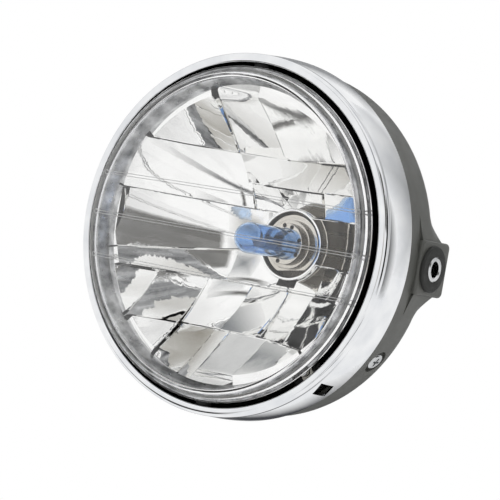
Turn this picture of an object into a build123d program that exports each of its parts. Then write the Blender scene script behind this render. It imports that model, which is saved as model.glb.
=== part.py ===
from build123d import *
import os
from math import asin, atan2, cos, degrees, radians, sin, sqrt, tan

# A round motorcycle headlight, in millimetres. +X is to the right seen from the front, +Y runs back
# through the lamp and +Z is up. Every piece is drawn with Y as its depth behind the rim's lip, and is
# placed at the end so that the origin lies midway between the ears, on their bolt axis.

# Fits between pieces
RUNNING = 0.05          # radial gap of a pin that turns in its bore
SNUG = 0.1              # gap between pieces that are fixed together
CLEAR = 0.3             # gap between pieces that move past each other

# Chrome rim: pressed sheet with a rolled lip, a bead, a groove and a broad convex band
RIM_R = 98.0
RIM_DEPTH = 23.8
RIM_SHEET = 1.0
LIP_INSET = 6.9
LIP_ROUND = 1.4
LIP_HEM = 2.4
BEAD_INSET = 1.6
BEAD_ROUND = 2.4
BEAD_DEPTH = 4.0
GROOVE = 0.4
BAND_BULGE = 0.5
WINDOW_ANGLE = -46.5    # degrees up from +X, seen from the front
WINDOW_WIDTH = 9.0
WINDOW_FRONT = 6.5
WINDOW_BACK = 20.5
WINDOW_SKEW = 3.0

# Shell: moulded bowl with a spigot in the rim and a port in its flat back
SHELL_INSET = 1.0
SHELL_BACK = 117.6
SHELL_WALL = 2.6
JOINT_GAP = 0.5
SIDE_LENGTH = 23.4
SIDE_DRAFT = 4.4
SHOULDER_R = 12.0
SHOULDER_ANGLE = 31.0
BACK_ROUND = 24.0
BACK_MARGIN = 5.7       # flat left around the port grommet's flange
SPIGOT_WALL = 1.8
SPIGOT_LENGTH = 3.0
PORT_R = 10.0
PORT_GROMMET_WALL = 4.0
PORT_FLANGE = 3.0
PORT_FLANGE_THICK = 2.0

# Ears on the shell, with a rubber grommet and a steel collar in each
EAR_DEPTH = 48.3
EAR_STAND = 1.0
EAR_FRONT = 13.0
EAR_REAR = 17.0
EAR_HALF_HEIGHT = 14.5
EAR_ROUND = 3.0
EAR_WALL = 3.0
EAR_PLATE = 4.0
GUSSET_REACH = 27.0
GUSSET_REAR = 9.0
GUSSET_HOLLOW = 2.4
BOLT_BORE_R = 4.25
COLLAR_WALL = 2.25
COLLAR_PROUD = 0.5
COLLAR_FLANGE = 2.6
COLLAR_FLANGE_THICK = 1.5
GROMMET_NECK_WALL = 2.4
GROMMET_FLANGE_R = 12.2
GROMMET_FLANGE_THICK = 2.0
GROMMET_INNER_R = 10.0

# Case screws, low on each side
SCREW_ANGLE = -33.3
SCREW_DEPTH = 39.1
SCREW_R = 2.5
SCREW_LENGTH = 14.0
SCREW_HEAD_R = 4.85
SCREW_HEAD_HIGH = 2.4
RECESS_LENGTH = 5.4
RECESS_WIDTH = 1.3
RECESS_DEPTH = 1.4
POCKET_R = 7.0
POCKET_SINK = 2.2
NUT_ACROSS = 8.0
NUT_THICK = 4.0

# Mounting ring: pressed steel in the rim
RING_INSET = 2.6
RING_SHEET = 1.2
RING_FRONT = 5.6
RING_BACK = 22.0
TAB_WIDTH = 16.0
TAB_OVERHANG = 8.0

# Lens
LENS_GAP = 2.1
LENS_WALL = 2.6
LENS_BACK = -0.7
LENS_FLANGE_THICK = 1.6
LENS_FACE_INSET = 4.7
LENS_FACE_DEPTH = -7.9
LENS_APEX = -21.0
LENS_CORNER = 1.6
SKIRT_STEP = 1.2
SKIRT_FOOT = 2.9

# Reflector
MIRROR_SINK = 0.45      # from the bulb's seat back to the deepest mirror's vertex
FACET_STEP = 0.45       # from one mirror's focal length to the next
FACET_STEPS = 3
MIRROR_FRONT = 4.0
REFLECTOR_WALL = 4.5
REFLECTOR_FLANGE_INSET = 0.8
REFLECTOR_FLANGE_THICK = 2.4
APRON_INSET = 3.1
APRON_TAPER = 2.0
MIRROR_LEDGE = 0.8
APRON_DEPTH = -2.8
APRON_WALL = 1.0
NECK_R = 31.0
NECK_BACK = 75.0
BULB_HOLE_R = 18.4
HOLE_RIM_WALL = 1.8
HOLE_RIM_FRONT = 64.6
SLOT_WIDTH = 12.0
SLOT_SHIFT = 2.4
SLOT_TOP = 18.0
SLOT_BOTTOM = 23.6
SEAL_INSET = 4.2
SEAL_WIDTH = 2.4
SEAL_GROOVE = 1.2

# Edges of the facets, as heights and as distances to the right of the axis
ROW_TOP = 45.0
ROW_MIDDLE = 30.0
BAND_TOP = 16.5
BAND_BOTTOM = -9.0
BAND_SLOPE = 0.213       # rise of the left band's lower edge for each millimetre to the right
BAND_CROSSING = -1.3     # height where that edge would cross the lamp's middle
BAND_LEFT = -75.3
ROW_LOW = -26.0
ROW_BASE = -52.5
OUTSIDE = RIM_R
TOP_COLUMNS = (-OUTSIDE, -25.6, 3.0, OUTSIDE)
UPPER_COLUMN = -23.2
BAND_SPLIT = 4.5
LOW_COLUMNS = (-OUTSIDE, -30.1, BAND_SPLIT, 28.6, OUTSIDE)
BASE_COLUMNS = (-OUTSIDE, -57.4, -37.8, -16.2, 6.0, 27.1, OUTSIDE)
FOOT_COLUMNS = (-OUTSIDE, -34.5, -17.7, -9.8, 16.9, OUTSIDE)

# Bulb: twin filament, on a three-tab flange
BULB_GLASS_R = 8.5
BULB_GLASS_WALL = 0.9
BULB_TIP = 15.5
BULB_SEAT = 70.5
BULB_FLANGE_R = 21.5
BULB_FLANGE_THICK = 1.2
BULB_TAB_WIDTH = 9.0
BULB_TAB_REACH = 2.0
BULB_COLLAR_R = 11.7
BULB_COLLAR_FRONT = 58.5
BULB_STEP_R = 13.8
BULB_STEP_FRONT = 63.0
BULB_SHOULDER_R = 17.2
BULB_SHOULDER_FRONT = 66.6
BULB_FLAT = 14.3
BULB_TURN = 9.0         # degrees that the flat stands askew in the photo
BULB_CAP_R = 12.0
BULB_CAP_BACK = 84.0
BULB_GLASS_HOLD = 5.0
FILAMENT_R = 0.9
FILAMENT_LENGTH = 5.5
LOW_FILAMENT = 41.0
HIGH_FILAMENT = 47.0
LOW_FILAMENT_RAISE = 1.6
WIRE_R = 0.5
SHIELD_R = 4.6
SHIELD_WALL = 0.4
SHIELD_FRONT = 33.5
SHIELD_LENGTH = 11.5
BLADE_WIDTH = 6.3
BLADE_THICK = 0.8
BLADE_LENGTH = 11.0
BLADE_SPREAD = 8.0

# Wire clip and boot behind the bulb
CLIP_R = 0.8
CLIP_BEND = 2.0
CLIP_HALF_WIDTH = 13.0
CLIP_REACH = 25.5
CLIP_DIP = 12.0
CLIP_RISE = 18.5
CLIP_SCREW_R = 1.5
CLIP_SCREW_HEAD_R = 3.0
CLIP_SCREW_LENGTH = 8.0
BOOT_WALL = 2.0
BOOT_LAP = 5.0
BOOT_BACK = 97.0
BOOT_TAIL_R = 16.0
BOOT_MOUTH_R = 13.0

# Pivots at the top and bottom of the light unit, and the aim adjuster
PIVOT_DEPTH = 8.5
PIVOT_R = 2.5
PIVOT_HOLD = 8.0
PIVOT_HEAD_R = 3.6
PIVOT_HEAD_THICK = 0.7
PIVOT_BOSS_R = 5.5
PIVOT_BOSS_GAP = 0.8
ADJUSTER_INSET = 6.6
ADJUSTER_SCREW_R = 2.5
ADJUSTER_FRONT = 3.0
ADJUSTER_BACK = 25.0
NUT_PLAY = 0.35
NUT_SIZE = 10.0
NUT_LENGTH = 5.0
NUT_FLANGE = 1.5
NUT_FLANGE_THICK = 1.0
LUG_WIDTH = 18.0
LUG_WALL = 4.0
WHEEL_R = 8.0
WHEEL_FRONT = 14.2
WHEEL_THICK = 6.0
WHEEL_TEETH = 16
WHEEL_TOOTH_R = 0.9
BRACKET_WIDTH = 16.0
BRACKET_REACH = 8.0
CLIP_RING_THICK = 0.8
CLIP_RING_WALL = 2.0

LIP_R = RIM_R - LIP_INSET
BEAD_R = RIM_R - BEAD_INSET
SHELL_R = RIM_R - SHELL_INSET
EAR_FACE = SHELL_R + EAR_STAND
RING_R = BEAD_R - RING_INSET
LENS_R = LIP_R - LENS_GAP
LENS_FACE_R = LENS_R - LENS_FACE_INSET
REFLECTOR_FLANGE_R = LENS_R - REFLECTOR_FLANGE_INSET
SEAL_R = REFLECTOR_FLANGE_R - SEAL_INSET
APRON_R = LENS_FACE_R - APRON_INSET
APRON_INNER_R = APRON_R - APRON_TAPER
SHELL_FRONT = RIM_DEPTH + JOINT_GAP
EAR_SEAT = EAR_FACE - EAR_PLATE
COLLAR_R = BOLT_BORE_R + COLLAR_WALL
GROMMET_NECK_R = COLLAR_R + SNUG + GROMMET_NECK_WALL
PORT_SEAT_R = PORT_R + PORT_GROMMET_WALL
BACK_FLAT_R = PORT_SEAT_R + PORT_FLANGE + BACK_MARGIN
RING_INNER_R = RING_R - RING_SHEET
ADJUSTER_R = RING_INNER_R - ADJUSTER_INSET
REFLECTOR_FRONT = LENS_BACK + CLEAR
BRACKET_FRONT = WHEEL_FRONT + WHEEL_THICK + CLEAR
POCKET_SEAT_R = SHELL_R - (SCREW_DEPTH - SHELL_FRONT) * tan(radians(SIDE_DRAFT)) - POCKET_SINK
TAB_R = POCKET_SEAT_R - SHELL_WALL - SNUG
HOLE_RIM_R = BULB_HOLE_R + HOLE_RIM_WALL
DEEPEST_VERTEX = BULB_SEAT + MIRROR_SINK
WIDEST_FOCAL = (APRON_INNER_R - MIRROR_LEDGE) ** 2 / (4 * (DEEPEST_VERTEX - MIRROR_FRONT))
FILAMENT_DEPTH = DEEPEST_VERTEX - WIDEST_FOCAL
MIRROR_FOCAL = WIDEST_FOCAL - FACET_STEPS * FACET_STEP
MIRROR_VERTEX = FILAMENT_DEPTH + MIRROR_FOCAL
MIRROR_R = sqrt(4 * MIRROR_FOCAL * (MIRROR_VERTEX - MIRROR_FRONT))


def turned(*edges):
    """Solid turned about the lamp's axis from a closed outline of radius and depth."""
    return revolve(make_face(edges), Axis.Y)


def ring(inner_r, outer_r, front, back):
    """Plain ring or disc on the lamp's axis."""
    corners = ((inner_r, front), (outer_r, front), (outer_r, back), (inner_r, back))
    return turned(*Polyline(*corners, close=True).edges())


def radial_plane(angle, depth, radius):
    """Plane that faces out from the lamp's axis, with its x towards the back."""
    out = Vector(cos(radians(angle)), 0, sin(radians(angle)))
    return Plane(origin=out * radius + Vector(0, depth, 0), x_dir=(0, 1, 0), z_dir=out)


def axial_plane(x, depth, height):
    """Plane that faces the back of the lamp, with its x to the right and its y up."""
    return Plane(origin=(x, depth, height), x_dir=(-1, 0, 0), z_dir=(0, 1, 0))


def rod(plane, radius, length):
    """Cylinder that stands on a plane."""
    return extrude(plane * Circle(radius), length)


def both_sides(solid):
    """The solid and its mirror image across the lamp's middle plane."""
    return [solid, mirror(solid, Plane.YZ)]


def group(solids):
    """Separate solids kept as one sub-part."""
    return Compound(children=[Solid(s.solid().wrapped) for s in solids])


def parabola(vertex, focal, inner_r, outer_r):
    """Exact stretch of a parabola on the lamp's axis, from one radius out to another."""
    start = vertex - inner_r ** 2 / (4 * focal)
    end = vertex - outer_r ** 2 / (4 * focal)
    knee = start - inner_r / (2 * focal) * (outer_r - inner_r) / 2
    return Bezier((inner_r, start), ((inner_r + outer_r) / 2, knee), (outer_r, end))


def chrome_rim():
    """Pressed rim: hemmed lip, bead, shadow groove and convex band, with the adjuster's window."""
    band_r = BEAD_R - GROOVE
    band_front = BEAD_DEPTH + GROOVE
    middle = ((band_r + RIM_R) / 2 + BAND_BULGE, (band_front + RIM_DEPTH) / 2)
    inner_middle = (middle[0] - RIM_SHEET, middle[1])
    inner_r = band_r - RIM_SHEET
    lip_inner = LIP_R + RIM_SHEET
    outer = [
        Line((LIP_R, LIP_HEM), (LIP_R, LIP_ROUND)),
        RadiusArc((LIP_R, LIP_ROUND), (LIP_R + LIP_ROUND, 0), LIP_ROUND),
        Line((LIP_R + LIP_ROUND, 0), (BEAD_R - BEAD_ROUND, 0)),
        RadiusArc((BEAD_R - BEAD_ROUND, 0), (BEAD_R, BEAD_ROUND), BEAD_ROUND),
        Line((BEAD_R, BEAD_ROUND), (BEAD_R, BEAD_DEPTH)),
        Line((BEAD_R, BEAD_DEPTH), (band_r, band_front)),
        ThreePointArc((band_r, band_front), middle, (RIM_R, RIM_DEPTH)),
    ]
    inner = [
        Line((RIM_R, RIM_DEPTH), (RIM_R - RIM_SHEET, RIM_DEPTH)),
        ThreePointArc((RIM_R - RIM_SHEET, RIM_DEPTH), inner_middle, (inner_r, band_front)),
        Line((inner_r, band_front), (inner_r, BEAD_ROUND)),
        RadiusArc((inner_r, BEAD_ROUND), (BEAD_R - BEAD_ROUND, RIM_SHEET), -BEAD_ROUND),
        Line((BEAD_R - BEAD_ROUND, RIM_SHEET), (LIP_R + LIP_ROUND, RIM_SHEET)),
        Line((LIP_R + LIP_ROUND, RIM_SHEET), (lip_inner, LIP_ROUND)),
        Line((lip_inner, LIP_ROUND), (lip_inner, LIP_HEM)),
        Line((lip_inner, LIP_HEM), (LIP_R, LIP_HEM)),
    ]
    return turned(*outer, *inner) - window_cut()


def window_cut():
    """Leaf-shaped window through the rim's band, in front of the adjuster's wheel."""
    half = WINDOW_WIDTH / 2
    corners = (
        (WINDOW_FRONT + WINDOW_SKEW, -half),
        (WINDOW_BACK, -half),
        (WINDOW_BACK - WINDOW_SKEW, half),
        (WINDOW_FRONT, half),
    )
    leaf = Polyline(*corners, close=True).edges()
    plane = radial_plane(WINDOW_ANGLE, 0, ADJUSTER_R)
    return extrude(plane * make_face(leaf), RIM_R - ADJUSTER_R + WINDOW_WIDTH)


def bowl_sweep():
    """Radius and end angle of the bowl's arc, tangent to the shoulder and to the round at the back."""
    side_turn = radians(SIDE_DRAFT)
    shoulder = radians(SHOULDER_ANGLE)
    start_r = SHELL_R - SIDE_LENGTH * tan(side_turn) - SHOULDER_R * (cos(side_turn) - cos(shoulder))
    start_y = SHELL_FRONT + SIDE_LENGTH + SHOULDER_R * (sin(shoulder) - sin(side_turn))
    gap = Vector(start_r - BACK_FLAT_R, start_y - SHELL_BACK + BACK_ROUND)
    inward = Vector(-cos(shoulder), -sin(shoulder))
    radius = (BACK_ROUND ** 2 - gap.dot(gap)) / (2 * (gap.dot(inward) + BACK_ROUND))
    middles = gap * -1 - inward * radius
    return radius, degrees(atan2(middles.Y, middles.X))


def bowl(inset):
    """Solid inside the shell's skin: drafted side, round shoulder, bowl and flat back."""
    side_turn = radians(SIDE_DRAFT)
    bowl_r, bowl_angle = bowl_sweep()
    front = (SHELL_R - inset / cos(side_turn), SHELL_FRONT)
    reach = SIDE_LENGTH / cos(side_turn) - inset * tan(side_turn)
    heading = (-sin(side_turn), cos(side_turn))
    corner = (front[0] + heading[0] * reach, front[1] + heading[1] * reach)
    side = Line(front, corner)
    turn = JernArc(corner, heading, SHOULDER_R - inset, SHOULDER_ANGLE - SIDE_DRAFT)
    sweep = JernArc(turn @ 1, turn % 1, bowl_r - inset, bowl_angle - SHOULDER_ANGLE)
    close = JernArc(sweep @ 1, sweep % 1, BACK_ROUND - inset, 90 - bowl_angle)
    back = (close @ 1).Y
    rest = Polyline(close @ 1, (0, back), (0, SHELL_FRONT), front)
    return turned(side, turn, sweep, close, *rest.edges())


def ear_form():
    """Right ear: a rounded block on the shell's side, with hollowed gussets above and below."""
    root = SHELL_R - SHELL_WALL - 2 * EAR_PLATE
    top = EAR_HALF_HEIGHT
    length = EAR_FRONT + EAR_REAR
    base = radial_plane(0, EAR_DEPTH + length / 2 - EAR_FRONT, root)
    block = extrude(base * RectangleRounded(length, 2 * top, EAR_ROUND), EAR_FACE - root)
    block = fillet(block.faces().sort_by(Axis.X)[-1].edges(), EAR_ROUND / 2)
    skin = sqrt(SHELL_R ** 2 - GUSSET_REACH ** 2) - EAR_WALL
    face = EAR_FACE - EAR_ROUND / 2
    chord = Vector(face - skin, top - GUSSET_REACH)
    hollow = Vector(chord.Y, -chord.X).normalized() * GUSSET_HOLLOW
    middle = Vector((face + skin) / 2, (top + GUSSET_REACH) / 2) + hollow
    upper = ThreePointArc((skin, GUSSET_REACH), (middle.X, middle.Y), (face, top))
    low = -GUSSET_REACH
    lower = ThreePointArc((face, -top), (middle.X, -middle.Y), (skin, low))
    rest = Polyline((skin, low), (root, low), (root, GUSSET_REACH), (skin, GUSSET_REACH))
    outline = make_face([upper, Line((face, top), (face, -top)), lower, *rest.edges()])
    front = EAR_DEPTH - EAR_FRONT + EAR_ROUND / 2
    plane = Plane(origin=(0, front, 0), x_dir=(1, 0, 0), z_dir=(0, -1, 0))
    return block + extrude(plane * outline, -(EAR_DEPTH + GUSSET_REAR - front))


def ear_core():
    """Hollow behind the right ear's plate, and the hole for the grommet's neck."""
    length = EAR_FRONT + EAR_REAR - 2 * EAR_WALL
    height = 2 * (EAR_HALF_HEIGHT - EAR_WALL)
    middle = EAR_DEPTH + (EAR_REAR - EAR_FRONT) / 2
    root = SHELL_R - SHELL_WALL - 3 * EAR_PLATE
    outline = RectangleRounded(length, height, EAR_ROUND)
    core = extrude(radial_plane(0, middle, root) * outline, EAR_SEAT - root)
    hole = rod(radial_plane(0, EAR_DEPTH, root), GROMMET_NECK_R + SNUG, EAR_FACE - root)
    return core + hole


def screw_seat():
    """Boss behind the skin that carries the right case screw."""
    base = TAB_R + SNUG
    plane = radial_plane(SCREW_ANGLE, SCREW_DEPTH, base)
    return rod(plane, POCKET_R + SHELL_WALL, POCKET_SEAT_R - base + SHELL_WALL)


def screw_pocket():
    """Scalloped pocket for the right case screw's head, and its hole."""
    pocket = rod(radial_plane(SCREW_ANGLE, SCREW_DEPTH, POCKET_SEAT_R), POCKET_R, POCKET_R)
    hole = rod(radial_plane(SCREW_ANGLE, SCREW_DEPTH, TAB_R - SHELL_WALL), SCREW_R + CLEAR, 4 * SHELL_WALL)
    return pocket + hole


def shell():
    """Moulded bowl with its spigot, ears, screw pockets and wiring port."""
    outer = bowl(0)
    body = outer
    for ear in both_sides(ear_form()):
        body += ear
    body -= bowl(SHELL_WALL)
    for seat in both_sides(screw_seat()):
        body += seat & outer
    spigot_r = RIM_R - RIM_SHEET - 2 * CLEAR
    body += ring(spigot_r - SPIGOT_WALL, spigot_r, SHELL_FRONT - SPIGOT_LENGTH, SHELL_FRONT + SHELL_WALL)
    for core in both_sides(ear_core()):
        body -= core
    for pocket in both_sides(screw_pocket()):
        body -= pocket
    port = rod(axial_plane(0, SHELL_BACK - 2 * SHELL_WALL, 0), PORT_SEAT_R + SNUG, 4 * SHELL_WALL)
    return body - port


def wiring_grommet():
    """Rubber ring that snaps into the port in the shell's back."""
    seat = SHELL_BACK - SHELL_WALL
    flange_r = PORT_SEAT_R + PORT_FLANGE
    outline = (
        (PORT_R, seat - PORT_FLANGE_THICK),
        (flange_r, seat - PORT_FLANGE_THICK),
        (flange_r, seat),
        (PORT_SEAT_R, seat),
        (PORT_SEAT_R, SHELL_BACK - SNUG),
        (PORT_R, SHELL_BACK - SNUG),
    )
    return turned(*Polyline(*outline, close=True).edges())


def turned_on_ear(*corners):
    """Solid turned about the ears' bolt axis from corners of distance along it and radius."""
    axis = Axis((0, EAR_DEPTH, 0), (1, 0, 0))
    outline = Polyline(*[(x, EAR_DEPTH + r) for x, r in corners], close=True)
    return revolve(make_face(outline.edges()), axis)


def grommet():
    """Rubber bush in the right ear: wide outer flange, neck and inner flange."""
    bore = COLLAR_R + SNUG
    outer = EAR_FACE + GROMMET_FLANGE_THICK
    inner = EAR_SEAT - GROMMET_FLANGE_THICK
    bush = turned_on_ear(
        (inner, bore), (inner, GROMMET_INNER_R), (EAR_SEAT, GROMMET_INNER_R), (EAR_SEAT, GROMMET_NECK_R),
        (EAR_FACE, GROMMET_NECK_R), (EAR_FACE, GROMMET_FLANGE_R), (outer, GROMMET_FLANGE_R), (outer, bore),
    )
    rim = bush.edges().filter_by(GeomType.CIRCLE).group_by(Axis.X)[-1].sort_by(SortBy.RADIUS)[-1]
    return fillet(rim, GROMMET_FLANGE_THICK / 2)


def collar():
    """Steel sleeve that the right mounting bolt passes through, flanged on the inside."""
    inner = EAR_SEAT - GROMMET_FLANGE_THICK
    outer = EAR_FACE + GROMMET_FLANGE_THICK + COLLAR_PROUD
    sleeve = turned_on_ear(
        (inner - COLLAR_FLANGE_THICK, BOLT_BORE_R), (inner - COLLAR_FLANGE_THICK, COLLAR_R + COLLAR_FLANGE),
        (inner, COLLAR_R + COLLAR_FLANGE), (inner, COLLAR_R), (outer, COLLAR_R), (outer, BOLT_BORE_R),
    )
    rim = sleeve.edges().filter_by(GeomType.CIRCLE).group_by(Axis.X)[-1]
    return chamfer(rim, COLLAR_PROUD)


def case_screw():
    """Right case screw: domed head with a cross recess, on the pocket's seat."""
    plane = radial_plane(SCREW_ANGLE, SCREW_DEPTH, POCKET_SEAT_R)
    head = rod(plane, SCREW_HEAD_R, SCREW_HEAD_HIGH)
    head = fillet(head.edges().filter_by(GeomType.CIRCLE).sort_by_distance(Vector(0, SCREW_DEPTH, 0))[-1:],
                  SCREW_HEAD_HIGH / 2)
    top = radial_plane(SCREW_ANGLE, SCREW_DEPTH, POCKET_SEAT_R + SCREW_HEAD_HIGH - RECESS_DEPTH)
    cross = Rectangle(RECESS_LENGTH, RECESS_WIDTH) + Rectangle(RECESS_WIDTH, RECESS_LENGTH)
    shank = rod(radial_plane(SCREW_ANGLE, SCREW_DEPTH, POCKET_SEAT_R - SCREW_LENGTH), SCREW_R, SCREW_LENGTH)
    return head + shank - extrude(top * cross, SCREW_HEAD_HIGH)


def case_nut():
    """Right case screw's nut, against the inside of the ring's tab."""
    plane = radial_plane(SCREW_ANGLE, SCREW_DEPTH, TAB_R - RING_SHEET - NUT_THICK)
    across = NUT_ACROSS / sqrt(3)
    return extrude(plane * (RegularPolygon(across, 6) - Circle(SCREW_R + RUNNING)), NUT_THICK)


def screw_tab():
    """Right tab of the mounting ring: a joggled strip back to the case screw."""
    length = SCREW_DEPTH - RING_BACK + TAB_OVERHANG + 2 * RING_SHEET
    front = RING_BACK - 2 * RING_SHEET
    strip = radial_plane(SCREW_ANGLE, front + length / 2, TAB_R - RING_SHEET)
    step = radial_plane(SCREW_ANGLE, front + RING_SHEET, TAB_R - RING_SHEET)
    tab = extrude(strip * RectangleRounded(length, TAB_WIDTH, RING_SHEET), RING_SHEET)
    rise = RING_INNER_R + RING_SHEET / 2 - TAB_R + RING_SHEET
    tab += extrude(step * Rectangle(2 * RING_SHEET, TAB_WIDTH), rise)
    hole = radial_plane(SCREW_ANGLE, SCREW_DEPTH, TAB_R - 2 * RING_SHEET)
    return tab - rod(hole, SCREW_R + CLEAR, 4 * RING_SHEET)


def adjuster_plane(depth):
    """Plane across the adjuster's axis, behind the rim's window."""
    angle = radians(WINDOW_ANGLE)
    return axial_plane(ADJUSTER_R * cos(angle), depth, ADJUSTER_R * sin(angle))


def adjuster_bracket():
    """Bracket of the mounting ring that the adjuster's screw turns in."""
    reach = RING_INNER_R + RING_SHEET / 2 - ADJUSTER_R + BRACKET_REACH
    middle = RING_INNER_R + RING_SHEET / 2 - reach / 2
    angle = radians(WINDOW_ANGLE)
    out = Vector(-cos(angle), 0, -sin(angle))
    plane = Plane(origin=-out * middle + Vector(0, BRACKET_FRONT, 0), x_dir=out, z_dir=(0, 1, 0))
    plate = extrude(plane * Rectangle(reach, BRACKET_WIDTH), RING_SHEET)
    return plate - rod(adjuster_plane(BRACKET_FRONT - RING_SHEET), ADJUSTER_SCREW_R + RUNNING, 3 * RING_SHEET)


def mounting_ring():
    """Pressed ring: front flange notched at the pivots, screw tabs, the adjuster's bracket and gap."""
    flange_r = BEAD_R - GROOVE - RIM_SHEET - CLEAR
    body = ring(RING_INNER_R, RING_R, RING_FRONT, RING_BACK)
    body += ring(RING_INNER_R, flange_r, RING_FRONT, RING_FRONT + RING_SHEET)
    gap = radial_plane(WINDOW_ANGLE, (RING_FRONT + BRACKET_FRONT) / 2 + RING_SHEET, RING_INNER_R - RING_SHEET)
    body -= extrude(gap * Rectangle(BRACKET_FRONT - RING_FRONT - 2 * RING_SHEET, 2 * WHEEL_R), 4 * RING_SHEET)
    for tab in both_sides(screw_tab()):
        body += tab
    body += adjuster_bracket()
    for angle in (90, -90):
        hole = radial_plane(angle, PIVOT_DEPTH, RING_INNER_R - RING_SHEET)
        body -= rod(hole, PIVOT_R + RUNNING, 3 * RING_SHEET)
        body -= rod(radial_plane(angle, PIVOT_DEPTH, RING_R), PIVOT_HEAD_R + CLEAR, 2 * RING_SHEET)
    return body


def pivot_pin(angle):
    """Riveted pin that stands in from the ring into the light unit's boss."""
    start = RING_INNER_R - PIVOT_BOSS_GAP - PIVOT_HOLD
    shank = rod(radial_plane(angle, PIVOT_DEPTH, start), PIVOT_R, RING_R - start)
    return shank + rod(radial_plane(angle, PIVOT_DEPTH, RING_R), PIVOT_HEAD_R, PIVOT_HEAD_THICK)


def lens():
    """Clear dome with a round corner, a stepped skirt and a flange."""
    def dome(face_r, face_depth, apex):
        rise = face_depth - apex
        radius = (face_r ** 2 + rise ** 2) / (2 * rise)
        return JernArc((0, apex), (1, 0), radius, degrees(asin(face_r / radius)))

    flange_front = LENS_BACK - LENS_FLANGE_THICK
    skirt = (flange_front - LENS_FACE_DEPTH) / 2
    inner_r = LENS_FACE_R - LENS_WALL
    outer_dome = dome(LENS_FACE_R, LENS_FACE_DEPTH, LENS_APEX)
    inner_dome = dome(inner_r, LENS_FACE_DEPTH + LENS_WALL, LENS_APEX + LENS_WALL)
    side = Polyline(
        outer_dome @ 1,
        (LENS_FACE_R + SKIRT_STEP, LENS_FACE_DEPTH + skirt),
        (LENS_FACE_R + 2 * SKIRT_STEP, LENS_FACE_DEPTH + skirt),
        (LENS_FACE_R + SKIRT_FOOT, flange_front),
        (LENS_R, flange_front),
        (LENS_R, LENS_BACK),
        (inner_r + SKIRT_STEP, LENS_BACK),
        inner_dome @ 1,
    )
    middle = Line((0, LENS_APEX), (0, LENS_APEX + LENS_WALL))
    body = turned(outer_dome, *side.edges(), inner_dome, middle)
    rim = body.edges().filter_by(GeomType.CIRCLE).sort_by(Axis.Y)
    corner = [e for e in rim if abs(e.radius - LENS_FACE_R) < SNUG]
    return fillet(corner[0], LENS_CORNER)


def lens_seal():
    """Gasket between the lens and the reflector's flange."""
    return ring(SEAL_R + SNUG, SEAL_R + SEAL_WIDTH - SNUG, LENS_BACK, REFLECTOR_FRONT + SEAL_GROOVE - SNUG)


def slanted(x):
    """Height of the left band's sloping lower edge."""
    return BAND_CROSSING + BAND_SLOPE * x


def panel(left, right, low, high):
    """Corners of an upright facet, as right and up."""
    return ((left, low), (right, low), (right, high), (left, high))


def facets():
    """Each facet's corners, its step out from the nearest mirror and its tilt up and right in degrees."""
    def row(columns, low, high, settings):
        for left, right, (step, tilt) in zip(columns, columns[1:], settings):
            yield panel(left, right, low, high), step, tilt

    yield from row(TOP_COLUMNS, ROW_TOP, OUTSIDE, ((0, (0.3, -0.3)), (2, (-0.4, 0.4)), (0, (0.3, 0.2))))
    yield panel(-OUTSIDE, UPPER_COLUMN, BAND_TOP, ROW_TOP), 1, (-0.2, 0.2)
    yield panel(UPPER_COLUMN, OUTSIDE, ROW_MIDDLE, ROW_TOP), 3, (0.3, -0.1)
    yield panel(UPPER_COLUMN, OUTSIDE, BAND_TOP, ROW_MIDDLE), 0, (-0.4, 0.1)
    left_band = ((BAND_LEFT, slanted(BAND_LEFT)), (BAND_SPLIT, slanted(BAND_SPLIT)),
                 (BAND_SPLIT, BAND_TOP), (BAND_LEFT, BAND_TOP))
    yield left_band, 2, (0.2, -0.1)
    yield panel(BAND_SPLIT, OUTSIDE, BAND_BOTTOM, BAND_TOP), 1, (-0.2, 0.1)
    for left, right, step, tilt in zip(LOW_COLUMNS, LOW_COLUMNS[1:], (0, 1), ((-0.2, 0.1), (0.4, -0.3))):
        corners = ((left, ROW_LOW), (right, ROW_LOW), (right, slanted(right)), (left, slanted(left)))
        yield corners, step, tilt
    yield from row(LOW_COLUMNS[2:], ROW_LOW, BAND_BOTTOM, ((2, (0.4, 0.4)), (0, (-0.3, -0.2))))
    settings = ((1, (0.3, 0.4)), (2, (-0.5, -0.4)), (3, (0.4, 0.5)),
                (0, (-0.5, -0.4)), (3, (0.5, 0.4)), (1, (-0.2, -0.3)))
    yield from row(BASE_COLUMNS, ROW_BASE, ROW_LOW, settings)
    settings = ((0, (0.2, -0.3)), (2, (-0.4, 0.5)), (1, (0.6, -0.4)), (2, (-0.4, 0.3)), (0, (0.3, 0.3)))
    yield from row(FOOT_COLUMNS, -OUTSIDE, ROW_BASE, settings)


def mirror_form(step):
    """Space inside a paraboloid about the filament. Those of other steps never cross it."""
    focal = MIRROR_FOCAL + step * FACET_STEP
    edge = parabola(FILAMENT_DEPTH + focal, focal, 0, OUTSIDE)
    return turned(edge, *Polyline(edge @ 1, (0, (edge @ 1).Y), edge @ 0).edges())


def facet_cavity(corners, tilt, form):
    """Space in front of one facet: a prism along the axis, closed by a slightly tilted paraboloid."""
    inside = [max(-MIRROR_R, min(MIRROR_R, value)) for corner in corners for value in corner]
    x = sum(inside[0::2]) / len(corners)
    z = sum(inside[1::2]) / len(corners)
    reach = max(sqrt(x * x + z * z), MIRROR_R)
    x, z = x * MIRROR_R / reach, z * MIRROR_R / reach
    y = MIRROR_VERTEX - (x * x + z * z) / (4 * MIRROR_FOCAL)
    tilted = form.rotate(Axis((x, y, z), (1, 0, 0)), tilt[0]).rotate(Axis((x, y, z), (0, 0, 1)), tilt[1])
    front = Plane(origin=(0, MIRROR_FRONT, 0), x_dir=(1, 0, 0), z_dir=(0, -1, 0))
    outline = make_face(Polyline(*corners, close=True).edges())
    return tilted & extrude(front * outline, -(NECK_BACK - MIRROR_FRONT))


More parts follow.
